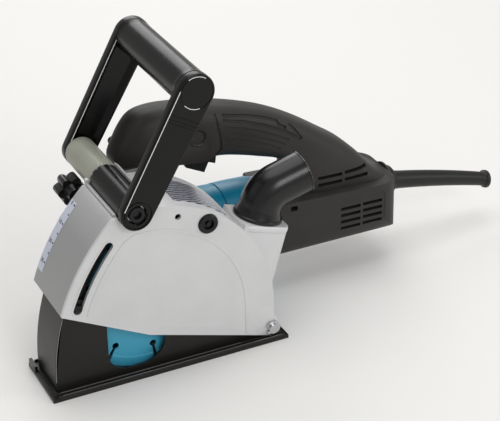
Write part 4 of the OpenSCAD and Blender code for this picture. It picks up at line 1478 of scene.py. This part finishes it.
@dataclass
class DustElbow:
    """The swivelling elbow: flared foot, bend, outlet and rim, with a painted highlight on the rim."""

    shop: Workshop
    foot: tuple[float, float, float] = (-3.2, -3.5, 97.0)
    tilt: float = 17.0
    radius: float = 17.0
    bore: float = 15.0
    bend_r: float = 22.0
    turn: float = 58.0
    neck: float = 10.0
    outlet: float = 24.0

    def place(self) -> Matrix:
        """The collar's own axes: Z out of the collar, X forward."""
        return Matrix.Translation(self.foot) @ Matrix.Rotation(math.radians(-self.tilt), 4, "Y")

    def tube(self, radius: float, flare: float, over: float) -> BMesh:
        """The elbow as a closed solid.

        Args:
            radius: The tube's radius.
            flare: Extra radius at the foot.
            over: How far both ends run past the elbow's own.

        Returns:
            The mesh, in the collar's axes.
        """
        made = bmesh.new()
        ring = bmesh.ops.create_circle(made, cap_ends=True, segments=ROUND, radius=radius + flare)
        face = ring["verts"][0].link_faces[0]
        bmesh.ops.translate(made, verts=ring["verts"], vec=(0, 0, 0.4 - over))
        levels = 8
        for level in range(1, levels + 1):
            height = 0.4 + (self.neck - 0.4) * level / levels
            reach = radius + flare * (1 - level / levels) ** 1.2
            face = self.pushed(made, face, Vector((0, 0, height)), reach)
        centre = Vector((-self.bend_r, 0, self.neck))
        grown = bmesh.ops.spin(
            made, geom=[face, *face.edges, *face.verts], cent=centre, axis=(0, -1, 0),
            angle=math.radians(self.turn), steps=20, use_merge=False,
        )["geom_last"]
        end = next(item for item in grown if isinstance(item, bmesh.types.BMFace))
        angle = math.radians(self.turn)
        ahead = Vector((-math.sin(angle), 0, math.cos(angle)))
        for _ in range(3):
            grown = bmesh.ops.extrude_discrete_faces(made, faces=[end])["faces"]
            end = grown[0]
            bmesh.ops.translate(made, verts=end.verts, vec=ahead * (self.outlet + over) / 3)
        bmesh.ops.remove_doubles(made, verts=made.verts, dist=0.001)
        bmesh.ops.recalc_face_normals(made, faces=made.faces)
        return made

    @staticmethod
    def pushed(made: BMesh, face: bmesh.types.BMFace, middle: Vector, radius: float) -> bmesh.types.BMFace:
        """Draws a round face on to a new middle and radius.

        Args:
            made: The mesh.
            face: The face.
            middle: Where its middle goes.
            radius: Its new radius.

        Returns:
            The new end.
        """
        grown = bmesh.ops.extrude_discrete_faces(made, faces=[face])["faces"][0]
        old = grown.calc_center_median()
        size = (grown.verts[0].co - old).length
        for vert in grown.verts:
            vert.co = middle + (vert.co - old) * (radius / size)
        return grown

    def build(self) -> None:
        """Makes the elbow, its foot ring, its rim and the collar that it turns in."""
        made = combined(self.tube(self.radius, 3.0, 0), self.tube(self.bore, 0, 8), "DIFFERENCE")
        bmesh.ops.transform(made, matrix=self.place(), verts=made.verts)
        self.shop.publish(made, "dust_elbow", "nozzle", "nozzle_black", ["dust_nozzle"], smooth=40)
        ring = turned([(15.2, -7.8), (17.3, -7.8), (17.3, 0.3), (19.6, 0.3), (20.2, 0.8), (20.2, 2.4),
                       (19.4, 3.2), (15.2, 3.2), (15.2, -7.8)], self.place())
        self.shop.publish(ring, "dust_elbow_foot", "nozzle", "nozzle_black")
        self.rim()
        self.collar()

    def rim(self) -> None:
        """The outlet's rim, with a thin bright ring on its edge: a painted highlight."""
        angle = math.radians(self.turn)
        bend = self.place() @ Matrix.Translation((-self.bend_r, 0, self.neck))
        end = bend @ Matrix.Rotation(-angle, 4, "Y") @ Matrix.Translation((self.bend_r, 0, self.outlet))
        rim = turned([(15.0, -1.2), (17.4, -1.2), (17.5, -0.6), (17.4, -0.1), (16.9, 0.0), (15.0, 0.0),
                      (15.0, -1.2)], end, 96)
        self.shop.publish(rim, "dust_elbow_rim", "nozzle", "nozzle_black")
        # A painted highlight: a thin bright ring on the rim's edge.
        painted_rim_highlight = turned([(16.3, -0.2), (17.1, -0.2), (17.1, 0.05), (16.3, 0.05), (16.3, -0.2)], end, 96)
        self.shop.publish(painted_rim_highlight, "dust_elbow_edge", "nozzle", "seam_line", slot="nozzle_black")

    def collar(self) -> None:
        """The cover's collar, which the elbow turns in."""
        lip = rounded([(-21.3, -24.2, 9), (21.3, -24.2, 9), (21.3, 17.2, 9), (-21.3, 17.2, 9)], 8)
        made = bmesh.new()
        base = made.faces.new([made.verts.new((x, y, -6.0)) for x, y in lip])
        drawn_out(made, base, Vector((0, 0, 5.9)))
        bmesh.ops.translate(made, verts=made.verts, vec=(0, -self.foot[1], 0))
        hole = turned([(0, -9), (17.6, -9), (17.6, 3), (0, 3)], Matrix.Identity(4))
        made = combined(made, hole, "DIFFERENCE")
        soften(made, 1.8, 4, 60)
        bmesh.ops.transform(made, matrix=self.place(), verts=made.verts)
        self.shop.publish(made, "dust_collar", "machine", "silver_casting")


# ---------------------------------------------------------------- shoe, wheels and stop


@dataclass
class Shoe:
    """The black shoe with its raised rim, and the pivot's hardware."""

    shop: Workshop
    sole_t: float = 3.2
    front_r: float = 182.4

    def build(self) -> None:
        """Makes the shoe's visible pieces."""
        self.shop.round_node("base_shoe", "shoe", "black_steel", 0.5, pierced_z=self.sole_t)
        self.rim()
        self.shop.round_node("pivot_pin", "shoe", "bright_steel", 0.6, 3)
        self.shop.round_node("pivot_clips", "shoe", "bright_steel", 0.2)

    def rim(self) -> None:
        """The raised lips along the sole's edges, and bright strips on the lips and the guard's front:
        painted highlights.
        """
        low, high = Layout.corners("base_shoe")
        rows = [(high.y - 1.6, 1.6, 1.6), (high.y - 6.3, 1.1, 1.0), (low.y, 1.6, 1.6)]
        strips = []
        for y, width, lift in rows:
            bar = box((low.x + 3, y, 3.1), (high.x - 4.6, y + width, 3.1 + lift))
            strips.append(soften(bar, 0.45, 3, 60))
        bar = box((high.x - 4.0, low.y + 3, 3.1), (high.x - 2.6, high.y - 3, 4.6))
        strips.append(soften(bar, 0.45, 3, 60))
        self.shop.publish(joined(strips), "shoe_lip", "shoe", "black_steel")
        # Thin bright strips on the lips and the guard's front: painted highlights.
        lines = [box((low.x + 6, high.y - 1.0, 4.6), (high.x - 8, high.y - 0.55, 4.75)),
                 box((low.x + 40, high.y - 5.9, 4.0), (high.x - 8, high.y - 5.5, 4.15))]
        pivot = self.shop.layout.pivot
        wall = high.y - 8.3
        front = arc((pivot.x, pivot.z), self.front_r, 0.4, 20.5, 24)
        lines.append(plate(strip(front, 0.4), wall - 0.3, wall + 0.06))
        self.shop.publish(joined(lines), "shoe_edge_lines", "shoe", "edge_steel", slot="black_steel")


@dataclass
class Wheels:
    """The diamond wheels' ribbed rims."""

    shop: Workshop
    radius: float = 62.5
    ribs: int = 162
    gullets: int = 9
    first_gullet: float = 8.0
    gullet_r: float = 46.5
    rib_h: float = 6.6

    def build(self) -> None:
        """Dresses the wheels and adds the ribs of both rims."""
        for name in ("wheel_near", "wheel_far"):
            self.disc(name)
            self.rim(name)

    def disc(self, node: str) -> None:
        """One wheel: a thin disc with a thicker rim and flared keyhole gullets.

        Args:
            node: The CAD node of the wheel.
        """
        low, high = Layout.corners(node)
        spot = self.shop.layout.spindle
        middle, half = (low.y + high.y) / 2, (high.y - low.y) / 2
        profile = [(11.2, -0.7), (54.4, -0.7), (54.8, -half), (self.radius, -half), (self.radius, half),
                   (54.8, half), (54.4, 0.7), (11.2, 0.7), (11.2, -0.7)]
        made = turned(profile, along_y(spot.x, middle, spot.z), 144)
        cuts = []
        for i in range(self.gullets):
            angle = math.radians(self.first_gullet + 360 / self.gullets * i)
            outward = Vector((-math.sin(angle), -math.cos(angle)))
            across = Vector((outward.y, -outward.x))
            spots = [outward * r + across * w for r, w in ((47, -0.9), (64, -2.0), (64, 2.0), (47, 0.9))]
            cuts.append(plate([(spot.x + v.x, spot.z + v.y) for v in spots], middle - 3, middle + 3))
            eye_x, eye_z = spot.x + outward.x * self.gullet_r, spot.z + outward.y * self.gullet_r
            cuts.append(rod(eye_x, eye_z, 2.7, middle - 3, middle + 3, 24))
        made = combined(made, joined(cuts), "DIFFERENCE")
        self.shop.publish(made, f"{node}_disc", "spindle_group", "wheel_teal", [node])

    def rim(self, node: str) -> None:
        """The fine ribs across one wheel's rim, left out at the gullets.

        Args:
            node: The CAD node of the wheel.
        """
        low, high = Layout.corners(node)
        spot = self.shop.layout.spindle
        pieces, apart = [], 360 / self.gullets
        for i in range(self.ribs):
            degrees = i * 360 / self.ribs
            if abs((degrees - self.first_gullet + apart / 2) % apart - apart / 2) < 3.0:
                continue
            rib = box((-0.5, low.y - 0.28, -self.radius + 0.15),
                      (0.5, high.y + 0.28, -self.radius + self.rib_h))
            turn = Matrix.Translation((spot.x, 0, spot.z)) @ Matrix.Rotation(math.radians(degrees), 4, "Y")
            bmesh.ops.transform(rib, matrix=turn, verts=rib.verts)
            pieces.append(rib)
        self.shop.publish(joined(pieces), f"{node}_ribs", "spindle_group", "wheel_teal")


@dataclass
class DepthStop:
    """The star knob, its shank and the stop block."""

    shop: Workshop
    lobes: int = 6
    core_r: float = 10.6

    def build(self) -> None:
        """Makes the knob and rounds the block."""
        low, high = Layout.corners("depth_knob")
        x, z = (low.x + high.x) / 2, (low.z + high.z) / 2
        outline = []
        steps = 96
        for i in range(steps):
            a = math.tau * i / steps
            wave = 0.5 + 0.5 * math.cos(self.lobes * a)
            radius = self.core_r - 2.0 + 3.4 * wave**0.6
            outline.append((x + radius * math.cos(a), z + radius * math.sin(a)))
        face = low.y + 0.2
        knob = plate(outline, face, face + 12.6)
        inset_face(knob, lambda f: len(f.verts) == steps and f.calc_center_median().y < face + 1, 2.2, -1.6)
        soften(knob, 1.2, 3, 50)
        neck = turned([(0, 0), (7.4, 0), (6.2, 2.5), (5.8, 8.4), (2.6, 8.8), (0, 8.8)],
                      along_y(x, face + 12.4, z))
        self.shop.publish(joined([knob, neck]), "star_knob", "depth_knob", "knob_black", ["depth_knob"])
        self.shop.round_node("depth_stop", "depth_stop", "black_steel", 0.6)


@dataclass
class CordGuard:
    """The bent rubber sleeve behind the motor."""

    shop: Workshop
    length: float = 101.0
    slope: float = 9.8
    droop: float = 6.5
    start: tuple[float, float] = (-164.6, 58.8)
    bend_x: float = -166.0

    def build(self) -> None:
        """Makes the sleeve with its collar and end flange."""
        profile = [(4.2, -12.0), (17.0, -12.0), (17.0, -10.0), (15.6, -8.4), (13.6, -7.8), (13.4, -3.6),
                   (12.6, -2.6), (10.8, -2.3), (10.6, -0.4), (9.6, 0.6), (8.3, 1.2), (7.9, 7.0)]
        count = 14
        run = self.length - 5.0 - 7.0
        profile += [(7.9 - 1.5 * k / count, 7.0 + run * k / count) for k in range(1, count + 1)]
        profile += [(6.9, self.length - 4.2), (8.1, self.length - 3.2), (8.3, self.length - 1.0),
                    (8.0, self.length - 0.2), (4.9, self.length), (4.2, self.length - 0.8)]
        profile += [(4.2, self.length * (1 - k / 6)) for k in range(1, 6)] + [(4.2, -12.0)]
        made = turned(profile, Matrix.Identity(4), 48)
        low, high = Layout.corners("cord_guard")
        place = Matrix.Translation((self.start[0], (low.y + high.y) / 2, self.start[1]))
        turn = Matrix.Rotation(-math.pi / 2 - math.radians(self.slope), 4, "Y")
        bmesh.ops.transform(made, matrix=place @ turn, verts=made.verts)
        for vert in made.verts:
            share = max(0.0, (self.bend_x - vert.co.x) / self.length)
            vert.co.z -= self.droop * share**2
        self.shop.publish(made, "cord_sleeve", "machine", "rubber_black", ["cord_guard"])


# ---------------------------------------------------------------- the rest of the frame


def dress_rest(shop: Workshop, frame: dict) -> None:
    """Gives every CAD node that still shows the finish that the record names.

    Args:
        shop: The workshop.
        frame: The loaded frame.
    """
    slots = {row["node"]: row["material_slot"] for row in frame["record"]["subparts"]}
    for node, target in frame["nodes"].items():
        if target.hide_render or "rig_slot" in target:
            continue
        shop.dress(node, slots[node])
        LOG.info("%s keeps its shape", node)


# ---------------------------------------------------------------- studio


@dataclass
class Studio:
    """The floor, the lights and the camera."""

    azimuth: float = 154.833
    elevation: float = 28.757
    roll: float = -1.249
    distance: float = 1324.6
    target: tuple[float, float, float] = (4.615, 0.0, 105.616)
    lens: float = 120.9

    def build(self) -> None:
        """Sets the whole studio."""
        self.floor()
        self.world()
        self.lights()
        self.camera()

    def floor(self) -> None:
        """A wide pale floor."""
        made = bmesh.new()
        bmesh.ops.create_grid(made, x_segments=2, y_segments=2, size=6.0)
        mesh = bpy.data.meshes.new("floor")
        made.to_mesh(mesh)
        made.free()
        floor = bpy.data.objects.new("floor", mesh)
        bpy.context.scene.collection.objects.link(floor)
        mesh.materials.append(Finish("floor_paint", (229, 228, 226), 0.8, mottle=0.0, relief=0.0).build())

    @staticmethod
    def world() -> None:
        """A pale even surround."""
        world = bpy.data.worlds.new("surround")
        world.use_nodes = True
        shade = world.node_tree.nodes["Background"]
        shade.inputs["Color"].default_value = (1.0, 0.995, 0.985, 1.0)
        shade.inputs["Strength"].default_value = 0.52
        bpy.context.scene.world = world
        bpy.context.scene.view_settings.view_transform = "Standard"

    @staticmethod
    def lights() -> None:
        """A broad overhead light, a key from the camera's left and a low fill."""
        rows = [
            ("overhead", (-0.1, -0.3, 1.6), 1.5, 11.0),
            ("key", (-0.2, 1.7, 1.2), 0.8, 11.0),
            ("fill", (-1.4, 0.9, 0.8), 0.9, 4.0),
            ("rim", (-0.4, -1.5, 1.0), 1.0, 7.0),
        ]
        for name, spot, size, power in rows:
            lamp = bpy.data.lights.new(name, "AREA")
            lamp.shape, lamp.size, lamp.energy = "DISK", size, power
            holder = bpy.data.objects.new(name, lamp)
            holder.location = spot
            holder.rotation_mode = "QUATERNION"
            holder.rotation_quaternion = (Vector(spot) - Vector((0, -0.02, 0.1))).to_track_quat("Z", "Y")
            bpy.context.scene.collection.objects.link(holder)

    def camera(self) -> None:
        """The camera, turned about the target by azimuth, elevation and roll."""
        a, e, roll = (math.radians(v) for v in (self.azimuth, self.elevation, self.roll))
        back = Vector((math.sin(a) * math.cos(e), -math.cos(a) * math.cos(e), math.sin(e)))
        across = Vector((0, 0, 1)).cross(back).normalized()
        up = back.cross(across)
        right = math.cos(roll) * across + math.sin(roll) * up
        upper = -math.sin(roll) * across + math.cos(roll) * up
        spot = (Vector(self.target) + back * self.distance) * METRE
        place = Matrix((right, upper, back)).transposed().to_4x4()
        place.translation = spot
        data = bpy.data.cameras.new("camera")
        data.lens, data.sensor_width = self.lens, 36.0
        camera = bpy.data.objects.new("camera", data)
        camera.matrix_world = place
        bpy.context.scene.collection.objects.link(camera)
        bpy.context.scene.camera = camera


def main() -> None:
    """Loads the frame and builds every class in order."""
    logging.basicConfig(level=logging.INFO, format="%(name)s: %(message)s")
    for leftover in list(bpy.data.objects):
        bpy.data.objects.remove(leftover)
    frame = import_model()
    Studio().build()
    shop = Workshop(Finishes(), Layout())
    makers = (Shoe, Wheels, WheelCover, DepthStop, FrontHandle, GearCase, MotorShells, DustElbow, CordGuard)
    for maker in makers:
        LOG.info("building %s", maker.__name__)
        maker(shop).build()
    dress_rest(shop, frame)


if __name__ == "__main__":
    main()
